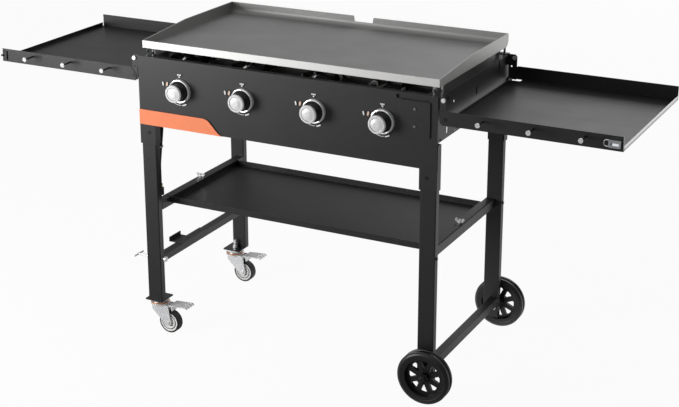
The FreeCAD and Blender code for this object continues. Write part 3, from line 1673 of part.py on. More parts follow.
def build_all():
    keep(build_front_panel())
    right_side = keep(build_side_panel())
    keep(mirrored("side_panel_left", right_side, ACROSS))
    keep(build_rear_panel())
    keep(build_manifold())
    keep(build_valves())
    for n in range(4):
        keep(build_stem(n))
        keep(build_knob(n))
    keep(build_bezels())
    keep(build_burners())
    keep(build_burner_rails())
    keep(build_igniters())
    axle_hole = ("XZ_Plane", "axle_out", "wheel_radius", "axle_radius + 0.2")
    clamp_hole = ("YZ_Plane", "-" + LEG_AXIS, "clamp_height", "clamp_radius + fit_gap")
    keep(build_leg("leg_front_left", -1, -1, "caster_plate_top", [clamp_hole]))
    keep(build_leg("leg_rear_left", -1, 1, "caster_plate_top", []))
    keep(build_leg("leg_front_right", 1, -1, "wheel_leg_foot", [axle_hole]))
    keep(build_leg("leg_rear_right", 1, 1, "wheel_leg_foot", [axle_hole]))
    sleeve = build_sleeve()
    rear_sleeve = mirrored("sleeve_rear", sleeve, FRONT_TO_BACK)
    left_sleeve = mirrored("sleeve_left", sleeve, ACROSS)
    rear_left_sleeve = mirrored("sleeve_rear_left", rear_sleeve, ACROSS)
    keep(group("leg_sleeves", [sleeve, rear_sleeve, left_sleeve, rear_left_sleeve]))
    screw_hole = (WING_X, WING_Y, "screw_radius + fit_gap")
    outer = LEG_IN + " + rail_side"
    mid_right = build_rail("mid_rail_right", LEG_IN, outer, "mid_rail_top", "rail_side", [screw_hole])
    keep(group("mid_rails", [mid_right, mirrored("mid_rail_left", mid_right, ACROSS)]))
    low_outer = "-" + LEG_IN + " - rail_side"
    keep(build_rail("lower_rail_left", low_outer, "-" + LEG_IN, "low_rail_top", "low_rail_height", []))
    axle_left = LEG_OUT + " - axle_rail_side"
    keep(build_rail("axle_rail", axle_left, LEG_OUT, "axle_rail_top", "axle_rail_side", []))
    keep(build_tray())
    keep(build_wing_screw("wing_screw_left", -1))
    keep(build_wing_screw("wing_screw_right", 1))
    keep(build_tank_bracket())
    keep(build_clamp_screw())
    for name, end in (("front", -1), ("rear", 1)):
        keep(build_caster_mount("caster_mount_" + name, end))
        keep(build_caster_fork("caster_fork_" + name, end))
        keep(build_caster_rim("caster_rim_" + name, end))
        keep(build_caster_tyre("caster_tyre_" + name, end))
        keep(build_pedal("brake_pedal_" + name, end))
        keep(build_wheel("wheel_" + name, end))
    keep(build_axle())
    right_shelf = keep(build_shelf())
    keep(mirrored("shelf_left", right_shelf, ACROSS))
    keep(build_pegs_right())
    keep(build_pegs_left())
    keep(build_opener())
    keep(build_brackets())
    keep(build_pivots())
    keep(build_plate())
    keep(build_plate_feet())
    keep(build_cup())
    keep(build_hose())
    keep(build_hose_nipple())
    keep(build_coupling_nut())
    keep(build_tie())
    keep(build_frame_bolts())


def check_all():
    """Stop if any feature failed or any piece is empty or invalid."""
    for item in doc.Objects:
        bad = [state for state in item.State if state in ("Invalid", "Error")]
        if bad:
            raise RuntimeError("%s: %s" % (item.Label, bad))
        if item.TypeId == "PartDesign::Pocket" and item.Shape.Volume > item.BaseFeature.Shape.Volume - 0.1:
            raise RuntimeError("%s cuts nothing" % item.Label)
    for item in made:
        if item.Shape.isNull() or not item.Shape.isValid():
            raise RuntimeError("%s has no valid shape" % item.Label)


build_all()
doc.recompute()
check_all()
os.makedirs("parts", exist_ok=True)
for piece in made:
    piece.Shape.exportStep("parts/%s.step" % piece.Label)
print("%d pieces written" % len(made))
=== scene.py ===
# %% [markdown]
# # An outdoor gas griddle station
#
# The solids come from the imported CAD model: every sheet, leg, wheel and knob is already there, in
# metres, with +X to the right, -Y to the front and Z up. This lesson gives them their finishes and
# adds what is too thin or too soft-edged for the solids: the coloured strip, the dial marks and
# the seal rings of the casters.

# %% Load the frame
import json
import math

import bpy
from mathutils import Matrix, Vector


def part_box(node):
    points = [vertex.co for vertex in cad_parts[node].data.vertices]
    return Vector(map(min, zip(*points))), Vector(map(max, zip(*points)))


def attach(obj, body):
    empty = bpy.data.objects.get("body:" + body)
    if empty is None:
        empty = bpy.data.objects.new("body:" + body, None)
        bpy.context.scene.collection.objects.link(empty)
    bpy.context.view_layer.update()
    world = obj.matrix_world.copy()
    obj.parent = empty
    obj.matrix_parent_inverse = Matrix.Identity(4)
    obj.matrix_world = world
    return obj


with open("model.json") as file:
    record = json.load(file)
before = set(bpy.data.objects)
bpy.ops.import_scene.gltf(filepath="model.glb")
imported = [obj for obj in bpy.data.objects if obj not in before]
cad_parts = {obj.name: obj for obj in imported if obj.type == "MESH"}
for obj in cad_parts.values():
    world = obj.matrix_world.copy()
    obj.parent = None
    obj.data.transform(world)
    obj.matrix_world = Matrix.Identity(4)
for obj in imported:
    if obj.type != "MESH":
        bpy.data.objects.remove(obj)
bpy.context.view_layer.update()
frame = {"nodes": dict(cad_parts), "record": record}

# %% [markdown]
# ## Camera
#
# The station is seen from its front right corner, from standing eye height, through a long lens
# about four metres away. The camera looks down on it, which would draw the legs together towards
# the floor. A view camera answers that by lowering the picture behind the lens instead of tilting
# more, so the lens is shifted down by a tenth of the picture's width. The numbers come from
# fitting the known corners of the griddle plate and the legs to where they stand in the picture.

# %% Place the camera
CAMERA_SPOT = (1.8802, -3.5695, 1.8993)
CAMERA_TILT = math.pi / 2 - 0.3084
CAMERA_TURN = 0.4743

view_data = bpy.data.cameras.new("studio_camera")
view_data.lens = 77.88
view_data.shift_y = -0.1
view_data.sensor_width = 36
camera = bpy.data.objects.new("studio_camera", view_data)
camera.location = CAMERA_SPOT
camera.rotation_euler = (CAMERA_TILT, 0, CAMERA_TURN)
bpy.context.scene.collection.objects.link(camera)
bpy.context.scene.camera = camera
print(
    "camera stands",
    round((Vector(CAMERA_SPOT) - Vector((0, 0, 0.6))).length, 2),
    "m from the middle",
)

# %% [markdown]
# ## Helpers for finishes
#
# Colours are chosen as sRGB hex, as in any paint program, and the shaders want linear light, so one
# function turns them. One more adds a node to a material with its settings and its links in one
# line. Every finish reads Object coordinates: the solids sit at the origin in real metres, so a
# pattern's scale is one over its real size.

# %% Colour and node helpers
def linear(code):
    """An sRGB hex colour as the linear RGBA that a shader takes."""
    parts = [int(code[n : n + 2], 16) / 255 for n in (0, 2, 4)]
    return (*[c / 12.92 if c <= 0.04045 else ((c + 0.055) / 1.055) ** 2.4 for c in parts], 1)


def add(tree, kind, links=None, **settings):
    """Add a node: settings are its options, links its inputs as values, sockets or nodes.

    A node given as a link means its first output.
    """
    made = tree.nodes.new("ShaderNode" + kind)
    for name, value in settings.items():
        setattr(made, name, value)
    for name, value in (links or {}).items():
        if isinstance(value, bpy.types.Node):
            value = value.outputs[0]
        if isinstance(value, bpy.types.NodeSocket):
            tree.links.new(value, made.inputs[name])
        else:
            made.inputs[name].default_value = value
    return made


def start_finish(name):
    """A new empty material, its tree and its Object coordinates."""
    finish = bpy.data.materials.new(name)
    finish.use_nodes = True
    tree = finish.node_tree
    tree.nodes.clear()
    return finish, tree, add(tree, "TexCoord").outputs["Object"]


print("black is", [round(v, 4) for v in linear("232425")[:3]])

# %% [markdown]
# ## Black powder coat
#
# The panels, legs and rails are folded mild steel, sprayed with polyester powder and baked. The
# powder flows into a skin with a fine orange peel of one to two millimetres, neither gloss nor
# matt. It could be a plain dark colour, but then the long legs look like card, so the skin gets a
# faint peel as bump, its gloss wanders a little over a hand's width, and a Bevel node rounds the
# folds by about a millimetre so that they catch the light. Where the rounded normal leaves the flat
# one, the coat is also painted a shade paler, a painted highlight along the folds. The peel is drawn
# at 3 mm, about twice the real one, or it would vanish between two pixels.

# %% Powder coat on frame and panels
coat, tree, spot = start_finish("black_powder_coat")
peel = add(tree, "TexNoise", {"Vector": spot, "Scale": 1 / 0.003, "Detail": 2.0, "Roughness": 0.4})
drift = add(tree, "TexNoise", {"Vector": spot, "Scale": 1 / 0.12, "Detail": 3.0})
tone = add(tree, "Mix", {0: drift, 6: linear("1b1b1c"), 7: linear("232323")}, data_type="RGBA")
gloss = add(tree, "MapRange", {"Value": drift, "To Min": 0.42, "To Max": 0.50})
fold = add(tree, "Bevel", {"Radius": 0.0009}, samples=4)
face = add(tree, "NewGeometry").outputs["Normal"]
turned = add(tree, "VectorMath", {0: fold, 1: face}, operation="DOT_PRODUCT")
# Painted highlight: where the rounded normal leaves the flat one, the coat is painted paler along
# the folds.
edge = add(
    tree,
    "MapRange",
    {"Value": turned.outputs[1], "From Min": 0.98, "From Max": 0.80, "To Max": 0.7},
)
fold_painted_highlight = add(tree, "Mix", {0: edge, 6: tone.outputs[2], 7: linear("4a4a4a")}, data_type="RGBA")
skin = add(tree, "Bump", {"Height": peel, "Normal": fold, "Strength": 0.18, "Distance": 0.0004})
shader = add(
    tree,
    "BsdfPrincipled",
    {"Base Color": fold_painted_highlight.outputs[2], "Roughness": gloss, "Normal": skin},
)
add(tree, "OutputMaterial", {"Surface": shader})
print("made", coat.name)

# %% [markdown]
# ## Shelf coat
#
# The two side shelves have the same powder, but their wide floors lie nearly flat to the eye and
# show a soft sheen, so this coat is a touch smoother, with faint rub marks where plates slide. The
# outer face of each end wall has a bright bare strip of steel: it is picked out by its place in
# the Object coordinates, more than 949.5 mm from the middle. Its upper half, above 788 mm, is
# painted near white as a highlight along the fold, and its lower half is the duller sheet.

# %% Powder coat on the shelves with its bright end strip
END_FACE = 0.9495
FOLD_FROM, FOLD_TO = 0.7875, 0.7885
shelf_coat, tree, spot = start_finish("shelf_powder_coat")
peel = add(tree, "TexNoise", {"Vector": spot, "Scale": 1 / 0.003, "Detail": 2.0, "Roughness": 0.4})
drift = add(tree, "TexNoise", {"Vector": spot, "Scale": 1 / 0.10, "Detail": 4.0})
rub_way = add(tree, "Mapping", {"Vector": spot, "Scale": (6.0, 140.0, 6.0)})
rubs = add(tree, "TexNoise", {"Vector": rub_way, "Scale": 1.0, "Detail": 3.0})
tone = add(tree, "Mix", {0: drift, 6: linear("1a1a1b"), 7: linear("232323")}, data_type="RGBA")
wander = add(tree, "Math", {0: drift, 1: rubs}, operation="ADD")
gloss = add(tree, "MapRange", {"Value": wander, "From Max": 2.0, "To Min": 0.34, "To Max": 0.50})
fold = add(tree, "Bevel", {"Radius": 0.0009}, samples=4)
skin = add(tree, "Bump", {"Height": peel, "Normal": fold, "Strength": 0.15, "Distance": 0.0004})
painted = add(
    tree,
    "BsdfPrincipled",
    {"Base Color": tone.outputs[2], "Roughness": gloss, "Normal": skin},
)
brush_way = add(tree, "Mapping", {"Vector": spot, "Scale": (900.0, 12.0, 900.0)})
brushing = add(tree, "TexNoise", {"Vector": brush_way, "Scale": 1.0, "Detail": 2.0})
shine = add(tree, "MapRange", {"Value": brushing, "To Min": 0.24, "To Max": 0.36})
parts = add(tree, "SeparateXYZ", {"Vector": spot})
# Painted highlight: above 788 mm the end strip is painted near white along its fold.
band = add(
    tree, "MapRange", {"Value": parts.outputs[2], "From Min": FOLD_FROM, "From Max": FOLD_TO}
)
strip_tone_fold_highlight = add(tree, "Mix", {0: band, 6: linear("a9aaa9"), 7: linear("f0f0ee")}, data_type="RGBA")
bare = add(
    tree,
    "BsdfPrincipled",
    {"Base Color": strip_tone_fold_highlight.outputs[2], "Metallic": 0.6, "Roughness": shine},
)
reach = add(tree, "Math", {0: parts.outputs[0]}, operation="ABSOLUTE")
outside = add(tree, "Math", {0: reach, 1: END_FACE}, operation="GREATER_THAN")
shader = add(tree, "MixShader", {0: outside, 1: painted, 2: bare})
add(tree, "OutputMaterial", {"Surface": shader})
print("made", shelf_coat.name)

# %% [markdown]
# ## Griddle steel
#
# The plate is cold rolled carbon steel. Its cooking surface is left as rolled and oiled, a mid
# grey with little shine, and its walls are ground bright: the fine scratches spread the light, so
# they look pale from every side and mirror the room only in a long blur. The inner faces of the
# walls, which are those that look towards the plate's middle, are painted darker as painted shade.
# One material holds both: the cooking surface is the flat 4 mm above the plate's underside, and
# everything else is ground. Rolling leaves faint lines along the sheet, drawn here 2 mm apart, and
# the cut top edge of the walls shows a paler line.

# %% Rolled surface and ground walls of the griddle plate
PLATE_FLOOR = 0.004
COOKING_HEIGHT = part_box("griddle_plate")[0].z + PLATE_FLOOR
griddle, tree, spot = start_finish("cold_rolled_griddle_steel")
roll_way = add(tree, "Mapping", {"Vector": spot, "Scale": (9.0, 420.0, 420.0)})
rolling = add(tree, "TexNoise", {"Vector": roll_way, "Scale": 1.0, "Detail": 3.0})
oil = add(tree, "TexNoise", {"Vector": spot, "Scale": 1 / 0.09, "Detail": 5.0, "Roughness": 0.55})
film = add(tree, "Mix", {0: oil, 6: linear("9c9c9c"), 7: linear("b6b6b6")}, data_type="RGBA")
dull = add(tree, "MapRange", {"Value": oil, "To Min": 0.46, "To Max": 0.62})
grain = add(tree, "Bump", {"Height": rolling, "Strength": 0.10, "Distance": 0.0004})
cooking = add(
    tree,
    "BsdfPrincipled",
    {"Base Color": film.outputs[2], "Metallic": 1.0, "Roughness": dull, "Normal": grain},
)
fold = add(tree, "Bevel", {"Radius": 0.0010}, samples=4)
ground = add(
    tree, "Bump", {"Height": rolling, "Normal": fold, "Strength": 0.03, "Distance": 0.0004}
)
bright = add(tree, "MapRange", {"Value": rolling, "To Min": 0.50, "To Max": 0.58})
parts = add(tree, "SeparateXYZ", {"Vector": spot})
level = add(tree, "CombineXYZ", {0: parts.outputs[0], 1: parts.outputs[1], 2: 0.0})
face = add(tree, "NewGeometry").outputs["Normal"]
outward = add(tree, "VectorMath", {0: level, 1: face}, operation="DOT_PRODUCT")
# Painted shade: the inner faces of the walls get a darker tone than the outer ones.
inner = add(tree, "Math", {0: outward.outputs[1], 1: -0.05}, operation="LESS_THAN")
wall_tone_inner_shaded = add(tree, "Mix", {0: inner, 6: linear("d2d2d0"), 7: linear("9c9c9b")}, data_type="RGBA")
walls = add(
    tree,
    "BsdfPrincipled",
    {"Base Color": wall_tone_inner_shaded.outputs[2], "Metallic": 0.8, "Roughness": bright, "Normal": ground},
)
height = add(tree, "Math", {0: parts.outputs[2], 1: COOKING_HEIGHT, 2: 0.0006}, operation="COMPARE")
facing = add(tree, "SeparateXYZ", {"Vector": face})
upward = add(tree, "Math", {0: facing.outputs[2], 1: 0.9}, operation="GREATER_THAN")
flat = add(tree, "Math", {0: height, 1: upward}, operation="MULTIPLY")
shader = add(tree, "MixShader", {0: flat, 1: walls, 2: cooking})
add(tree, "OutputMaterial", {"Surface": shader})
print("made", griddle.name, "with its cooking surface at", round(COOKING_HEIGHT, 4))

# %% [markdown]
# ## Stainless tube and cup
#
# Burners and grease cup are thin stainless sheet. Drawing the cup and rolling the tubes leaves
# fine lines along X. The cup stays clean. The burners sit in shade under the plate, so they are
# painted near black in dark browns as painted shade, bare only in small spots that stand in for
# glints as painted highlights. The cup hangs behind the fire box, more than 240 mm to the rear, so
# the place along Y tells the two apart.

# %% Drawn stainless
CUP_FROM, BOX_REAR = 0.24, 0.20
stainless, tree, spot = start_finish("drawn_stainless")
draw_way = add(tree, "Mapping", {"Vector": spot, "Scale": (700.0, 30.0, 700.0)})
drawn = add(tree, "TexNoise", {"Vector": draw_way, "Scale": 1.0, "Detail": 2.0})
parts = add(tree, "SeparateXYZ", {"Vector": spot})
inside = add(
    tree, "MapRange", {"Value": parts.outputs[1], "From Min": CUP_FROM, "From Max": BOX_REAR}
)
# Painted shade and painted highlights: the burners are painted near black, bare only in small spots
# that stand for glints.
patch = add(tree, "TexNoise", {"Vector": spot, "Scale": 1 / 0.03, "Detail": 3.0})
dark_between_glints = add(tree, "MapRange", {"Value": patch, "From Min": 0.62, "From Max": 0.54})
painted_shade_mask = add(tree, "Math", {0: inside, 1: dark_between_glints}, operation="MULTIPLY")
painted_shade_tone = add(tree, "Mix", {0: patch, 6: linear("1c1713"), 7: linear("0b0a09")}, data_type="RGBA")
tint = add(tree, "Mix", {0: painted_shade_mask, 6: linear("cbccca"), 7: painted_shade_tone.outputs[2]}, data_type="RGBA")
shine = add(tree, "MapRange", {"Value": drawn, "To Min": 0.22, "To Max": 0.38})
dulled = add(tree, "Math", {0: painted_shade_mask, 1: 0.3, 2: shine}, operation="MULTIPLY_ADD")
lines = add(tree, "Bump", {"Height": drawn, "Strength": 0.08, "Distance": 0.0003})
shader = add(
    tree,
    "BsdfPrincipled",
    {"Base Color": tint.outputs[2], "Metallic": 1.0, "Roughness": dulled, "Normal": lines},
)
add(tree, "OutputMaterial", {"Surface": shader})
print("made", stainless.name)

# %% [markdown]
# ## Chrome
#
# The bottle opener and the feet of the plate are chrome plated steel. Chrome hides nothing: it
# only shows the studio, with a slight blue, and a light haze of polishing marks that breaks the
# mirror a little.

# %% Chrome plate
chrome, tree, spot = start_finish("chrome_plate")
haze = add(tree, "TexNoise", {"Vector": spot, "Scale": 1 / 0.006, "Detail": 3.0})
polish = add(tree, "MapRange", {"Value": haze, "To Min": 0.05, "To Max": 0.14})
waves = add(tree, "Bump", {"Height": haze, "Strength": 0.05, "Distance": 0.0003})
shader = add(
    tree,
    "BsdfPrincipled",
    {"Base Color": linear("e6e8ea"), "Metallic": 1.0, "Roughness": polish, "Normal": waves},
)
add(tree, "OutputMaterial", {"Surface": shader})
print("made", chrome.name)

# %% [markdown]
# ## Where the knobs stand
#
# Bezels and knobs change their finish with the distance from the knob's axis. The four knobs stand
# evenly on both sides of a middle, so folding X twice about it gives that distance for all four at
# once.

# %% Distance from the nearest knob's axis
KNOB_ACROSS = [sum(v.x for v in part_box("knob_%d" % n)) / 2 for n in range(1, 5)]
KNOB_UP = sum(v.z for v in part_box("knob_1")) / 2
KNOB_MIDDLE = (KNOB_ACROSS[1] + KNOB_ACROSS[2]) / 2
PAIR_MIDDLE = (KNOB_ACROSS[3] + KNOB_ACROSS[2]) / 2 - KNOB_MIDDLE
HALF_PAIR = (KNOB_ACROSS[3] - KNOB_ACROSS[2]) / 2


def knob_distance(tree, parts):
    """The distance from the nearest knob's axis, from separated Object coordinates."""
    shifted = add(tree, "Math", {0: parts.outputs[0], 1: KNOB_MIDDLE}, operation="SUBTRACT")
    once = add(tree, "Math", {0: shifted}, operation="ABSOLUTE")
    paired = add(tree, "Math", {0: once, 1: PAIR_MIDDLE}, operation="SUBTRACT")
    twice = add(tree, "Math", {0: paired}, operation="ABSOLUTE")
    across = add(tree, "Math", {0: twice, 1: HALF_PAIR}, operation="SUBTRACT")
    upward = add(tree, "Math", {0: parts.outputs[2], 1: KNOB_UP}, operation="SUBTRACT")
    face_spot = add(tree, "CombineXYZ", {0: across, 1: 0.0, 2: upward})
    return add(tree, "VectorMath", {0: face_spot}, operation="LENGTH").outputs[1]


print("knobs stand at", [round(x, 4) for x in KNOB_ACROSS], "and", round(KNOB_UP, 4), "m up")

# %% [markdown]
# ## Bezels
#
# The bezel behind each knob is pressed sheet with a satin chrome. Its rounded flange is painted
# near white over a thin metal, a painted reflection of the bright studio, so it looks white all
# round instead of mirroring the black panel. Its hollow, less than 29 mm from the axis, is painted
# black as painted shade in the gap round the knob.

# %% Satin chrome
BEZEL_HOLLOW = 0.0290
satin_chrome, tree, spot = start_finish("satin_chrome_plate")
haze = add(tree, "TexNoise", {"Vector": spot, "Scale": 1 / 0.005, "Detail": 3.0})
polish = add(tree, "MapRange", {"Value": haze, "To Min": 0.12, "To Max": 0.20})
tone = add(tree, "Mix", {0: haze, 6: linear("eeeff0"), 7: linear("fbfbfb")}, data_type="RGBA")
waves = add(tree, "Bump", {"Height": haze, "Strength": 0.04, "Distance": 0.0003})
# Painted reflection: the flange is near white over a thin metal.
flange_painted_reflection = add(
    tree,
    "BsdfPrincipled",
    {"Base Color": tone.outputs[2], "Metallic": 0.35, "Roughness": polish, "Normal": waves},
)
# Painted shade: the hollow round the knob is painted black.
sprayed = add(
    tree, "BsdfPrincipled", {"Base Color": linear("0c0c0c"), "Roughness": 0.45, "Normal": waves}
)
away = knob_distance(tree, add(tree, "SeparateXYZ", {"Vector": spot}))
hollow = add(tree, "Math", {0: away, 1: BEZEL_HOLLOW}, operation="LESS_THAN")
shader = add(tree, "MixShader", {0: hollow, 1: flange_painted_reflection, 2: sprayed})
add(tree, "OutputMaterial", {"Surface": shader})
print("made", satin_chrome.name)

# %% [markdown]
# ## Knobs: chrome cap, black grip
#
# Each knob is moulded black ABS with a pressed and chromed cap over its front. The cap could be a
# piece of its own, but the solid already has its outline, so the material changes along Y: cap in
# front of 287.5 mm and a black grip behind it. The cap is painted near white over a thin metal, a
# painted reflection of the bright studio. Its middle is brushed across, rougher and softer than its
# polished rim, and the pressed groove between them is painted grey as painted shade. The distance
# from the knob's axis tells the three apart.

# %% Finishes on the knob
CAP_BACK = -0.2875
SATIN_EDGE, SATIN_FULL = 0.0178, 0.0170
CAP_GROOVE, GROOVE_HALF = 0.0180, 0.0007
knob_finish, tree, spot = start_finish("knob_abs_and_chrome")
parts = add(tree, "SeparateXYZ", {"Vector": spot})
away = knob_distance(tree, parts)
satin = add(tree, "MapRange", {"Value": away, "From Min": SATIN_EDGE, "From Max": SATIN_FULL})
# Painted shade: the pressed groove is painted grey.
groove = add(tree, "Math", {0: away, 1: CAP_GROOVE, 2: GROOVE_HALF}, operation="COMPARE")
brush_way = add(tree, "Mapping", {"Vector": spot, "Scale": (60.0, 60.0, 1400.0)})
brushed = add(tree, "TexNoise", {"Vector": brush_way, "Scale": 1.0, "Detail": 2.0})
cloud = add(tree, "TexNoise", {"Vector": spot, "Scale": 1 / 0.02, "Detail": 2.0})
# Painted reflection: the cap is painted near white over a thin metal.
middle_painted_reflection = add(
    tree, "Mix", {0: cloud, 6: linear("dcdcdd"), 7: linear("fafafa")}, data_type="RGBA"
)
cap_painted_reflection = add(
    tree, "Mix", {0: satin, 6: linear("fbfbfb"), 7: middle_painted_reflection.outputs[2]}, data_type="RGBA"
)
cap_tone_groove_shaded = add(
    tree, "Mix", {0: groove, 6: cap_painted_reflection.outputs[2], 7: linear("8e8f90")}, data_type="RGBA"
)
rough_middle = add(tree, "MapRange", {"Value": brushed, "To Min": 0.34, "To Max": 0.50})
rough = add(tree, "Mix", {0: satin, 2: 0.14, 3: rough_middle})
scratch = add(tree, "Bump", {"Height": brushed, "Strength": 0.08, "Distance": 0.0002})
capped = add(
    tree,
    "BsdfPrincipled",
    {"Base Color": cap_tone_groove_shaded.outputs[2], "Metallic": 0.15, "Roughness": rough, "Normal": scratch},
)
moulded = add(tree, "TexNoise", {"Vector": spot, "Scale": 1 / 0.0015, "Detail": 2.0})
mark = add(tree, "Bump", {"Height": moulded, "Strength": 0.15, "Distance": 0.0003})
grip = add(
    tree,
    "BsdfPrincipled",
    {"Base Color": linear("0d0d0e"), "Roughness": 0.42, "Normal": mark},
)
behind = add(tree, "Math", {0: parts.outputs[1], 1: CAP_BACK}, operation="GREATER_THAN")
shader = add(tree, "MixShader", {0: behind, 1: capped, 2: grip})
add(tree, "OutputMaterial", {"Surface": shader})
print("made", knob_finish.name)

# %% [markdown]
# ## Zinc plate
#
# Forks, brake pedals, screws and the axle are pressed or turned steel with bright zinc. Fresh zinc
# is whiter and duller than chrome, and its crystals show as a faint mottle of a few millimetres.
# Its thin clear passivation scatters light like a paint, so it isn't set fully metallic.

# %% Bright zinc
zinc, tree, spot = start_finish("bright_zinc_plate")
crystal = add(tree, "TexVoronoi", {"Vector": spot, "Scale": 1 / 0.005})
mottle = add(tree, "TexNoise", {"Vector": spot, "Scale": 1 / 0.012, "Detail": 4.0})
tone = add(tree, "Mix", {0: mottle, 6: linear("dfe0e2"), 7: linear("f8f8f9")}, data_type="RGBA")
mixed = add(tree, "Math", {0: crystal, 1: mottle}, operation="MULTIPLY")
dull = add(tree, "MapRange", {"Value": mixed, "To Min": 0.30, "To Max": 0.48})
fold = add(tree, "Bevel", {"Radius": 0.0006}, samples=4)
grain = add(tree, "Bump", {"Height": mottle, "Normal": fold, "Strength": 0.08, "Distance": 0.0003})
shader = add(
    tree,
    "BsdfPrincipled",
    {"Base Color": tone.outputs[2], "Metallic": 0.45, "Roughness": dull, "Normal": grain},
)
add(tree, "OutputMaterial", {"Surface": shader})
print("made", zinc.name)

# %% [markdown]
# ## Brass
#
# Valves, stems and hose tail are turned from brass bar. The lathe leaves rings, and the
# air darkens the hollows, so a slow noise leans the colour to brown.

# %% Turned brass
brass, tree, spot = start_finish("turned_brass")
rings = add(
    tree, "TexWave", {"Vector": spot, "Scale": 320.0, "Distortion": 0.4}, bands_direction="Y"
)
age = add(tree, "TexNoise", {"Vector": spot, "Scale": 1 / 0.02, "Detail": 4.0})
tone = add(tree, "Mix", {0: age, 6: linear("c9a45a"), 7: linear("9a7638")}, data_type="RGBA")
dull = add(tree, "MapRange", {"Value": age, "To Min": 0.24, "To Max": 0.44})
lathe = add(tree, "Bump", {"Height": rings.outputs[1], "Strength": 0.06, "Distance": 0.0003})
shader = add(
    tree,
    "BsdfPrincipled",
    {"Base Color": tone.outputs[2], "Metallic": 1.0, "Roughness": dull, "Normal": lathe},
)
add(tree, "OutputMaterial", {"Surface": shader})
print("made", brass.name)

# %% [markdown]
# ## Ceramic
#
# The spark electrodes are glazed porcelain tubes with a nickel wire. White, with the faintest
# cream, a hard gloss and grey smoke near the flame.

# %% Glazed ceramic
ceramic, tree, spot = start_finish("glazed_ceramic")
smoke = add(tree, "TexNoise", {"Vector": spot, "Scale": 1 / 0.01, "Detail": 4.0})
tone = add(tree, "Mix", {0: smoke, 6: linear("efede4"), 7: linear("b9b4a8")}, data_type="RGBA")
shader = add(tree, "BsdfPrincipled", {"Base Color": tone.outputs[2], "Roughness": 0.16})
add(tree, "OutputMaterial", {"Surface": shader})
print("made", ceramic.name)

# %% [markdown]
# ## Rubber hose
#
# The gas hose is extruded nitrile rubber: dead black, matt, with a dusty bloom. Extruding leaves
# no pattern across, only a faint mottle.

# %% Extruded rubber
rubber, tree, spot = start_finish("extruded_rubber")
bloom = add(tree, "TexNoise", {"Vector": spot, "Scale": 1 / 0.008, "Detail": 4.0})
tone = add(tree, "Mix", {0: bloom, 6: linear("111111"), 7: linear("242424")}, data_type="RGBA")
dull = add(tree, "MapRange", {"Value": bloom, "To Min": 0.6, "To Max": 0.85})
rough = add(tree, "Bump", {"Height": bloom, "Strength": 0.1, "Distance": 0.0004})
shader = add(
    tree,
    "BsdfPrincipled",
    {"Base Color": tone.outputs[2], "Roughness": dull, "Normal": rough},
)
add(tree, "OutputMaterial", {"Surface": shader})
print("made", rubber.name)

# %% [markdown]
# ## Caster tyre
#
# The small tyres are injected rubber on a hard centre. They are blacker and smoother than a car
# tyre, with a little floor dust on the tread.

# %% Injected tyre rubber
tyre, tree, spot = start_finish("injected_tyre_rubber")
dust = add(tree, "TexNoise", {"Vector": spot, "Scale": 1 / 0.006, "Detail": 5.0})
tone = add(tree, "Mix", {0: dust, 6: linear("090909"), 7: linear("161615")}, data_type="RGBA")
dull = add(tree, "MapRange", {"Value": dust, "To Min": 0.42, "To Max": 0.68})
rough = add(tree, "Bump", {"Height": dust, "Strength": 0.12, "Distance": 0.0004})
shader = add(
    tree,
    "BsdfPrincipled",
    {"Base Color": tone.outputs[2], "Roughness": dull, "Normal": rough},
)
add(tree, "OutputMaterial", {"Surface": shader})
print("made", tyre.name)

# %% [markdown]
# ## Moulded wheels
#
# The two large wheels are blow moulded polyethylene: waxy black, with moulded rings round the
# side. The solids have the spokes, the rim and the bevels. The rings are too fine for them, so they
# are a bump that depends on the distance from the axle, and both wheels share it because they turn
# about the same line. The tops of the rings are painted a little paler, a painted highlight along
# each ring.

# %% Polyethylene with moulded rings
wheel_low, wheel_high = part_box("wheel_front")
RING_PITCH = 0.007
RINGS_FROM, RINGS_FULL = 0.056, 0.060
WHEEL_AXLE = ((wheel_low.x + wheel_high.x) / 2, 0.0, (wheel_low.z + wheel_high.z) / 2)
wheel_plastic, tree, spot = start_finish("moulded_polyethylene")
parts = add(tree, "SeparateXYZ", {"Vector": spot})
level = add(tree, "CombineXYZ", {0: parts.outputs[0], 1: 0.0, 2: parts.outputs[2]})
offset = add(tree, "VectorMath", {0: level, 1: WHEEL_AXLE}, operation="DISTANCE")
turns = add(tree, "Math", {0: offset.outputs[1], 1: 2 * math.pi / RING_PITCH}, operation="MULTIPLY")
ripple = add(tree, "Math", {0: turns}, operation="SINE")
on_side = add(
    tree, "MapRange", {"Value": offset.outputs[1], "From Min": RINGS_FROM, "From Max": RINGS_FULL}
)
rings = add(tree, "Math", {0: ripple, 1: on_side}, operation="MULTIPLY")
wax = add(tree, "TexNoise", {"Vector": spot, "Scale": 1 / 0.01, "Detail": 3.0})
tone = add(tree, "Mix", {0: wax, 6: linear("0c0c0c"), 7: linear("161617")}, data_type="RGBA")
# Painted highlight: the tops of the rings are painted paler.
crest_highlight = add(tree, "MapRange", {"Value": rings, "From Min": 0.5, "From Max": 1.0, "To Max": 0.35})
ring_highlight_tone = add(tree, "Mix", {0: crest_highlight, 6: tone.outputs[2], 7: linear("3a3a3b")}, data_type="RGBA")
dull = add(tree, "MapRange", {"Value": wax, "To Min": 0.34, "To Max": 0.46})
ringed = add(tree, "Bump", {"Height": rings, "Strength": 0.5, "Distance": 0.0006})
skin = add(tree, "Bump", {"Height": wax, "Normal": ringed, "Strength": 0.1, "Distance": 0.0005})
shader = add(
    tree,
    "BsdfPrincipled",
    {"Base Color": ring_highlight_tone.outputs[2], "Roughness": dull, "Normal": skin},
)
add(tree, "OutputMaterial", {"Surface": shader})
print("made", wheel_plastic.name, "with rings about", [round(v, 3) for v in WHEEL_AXLE])
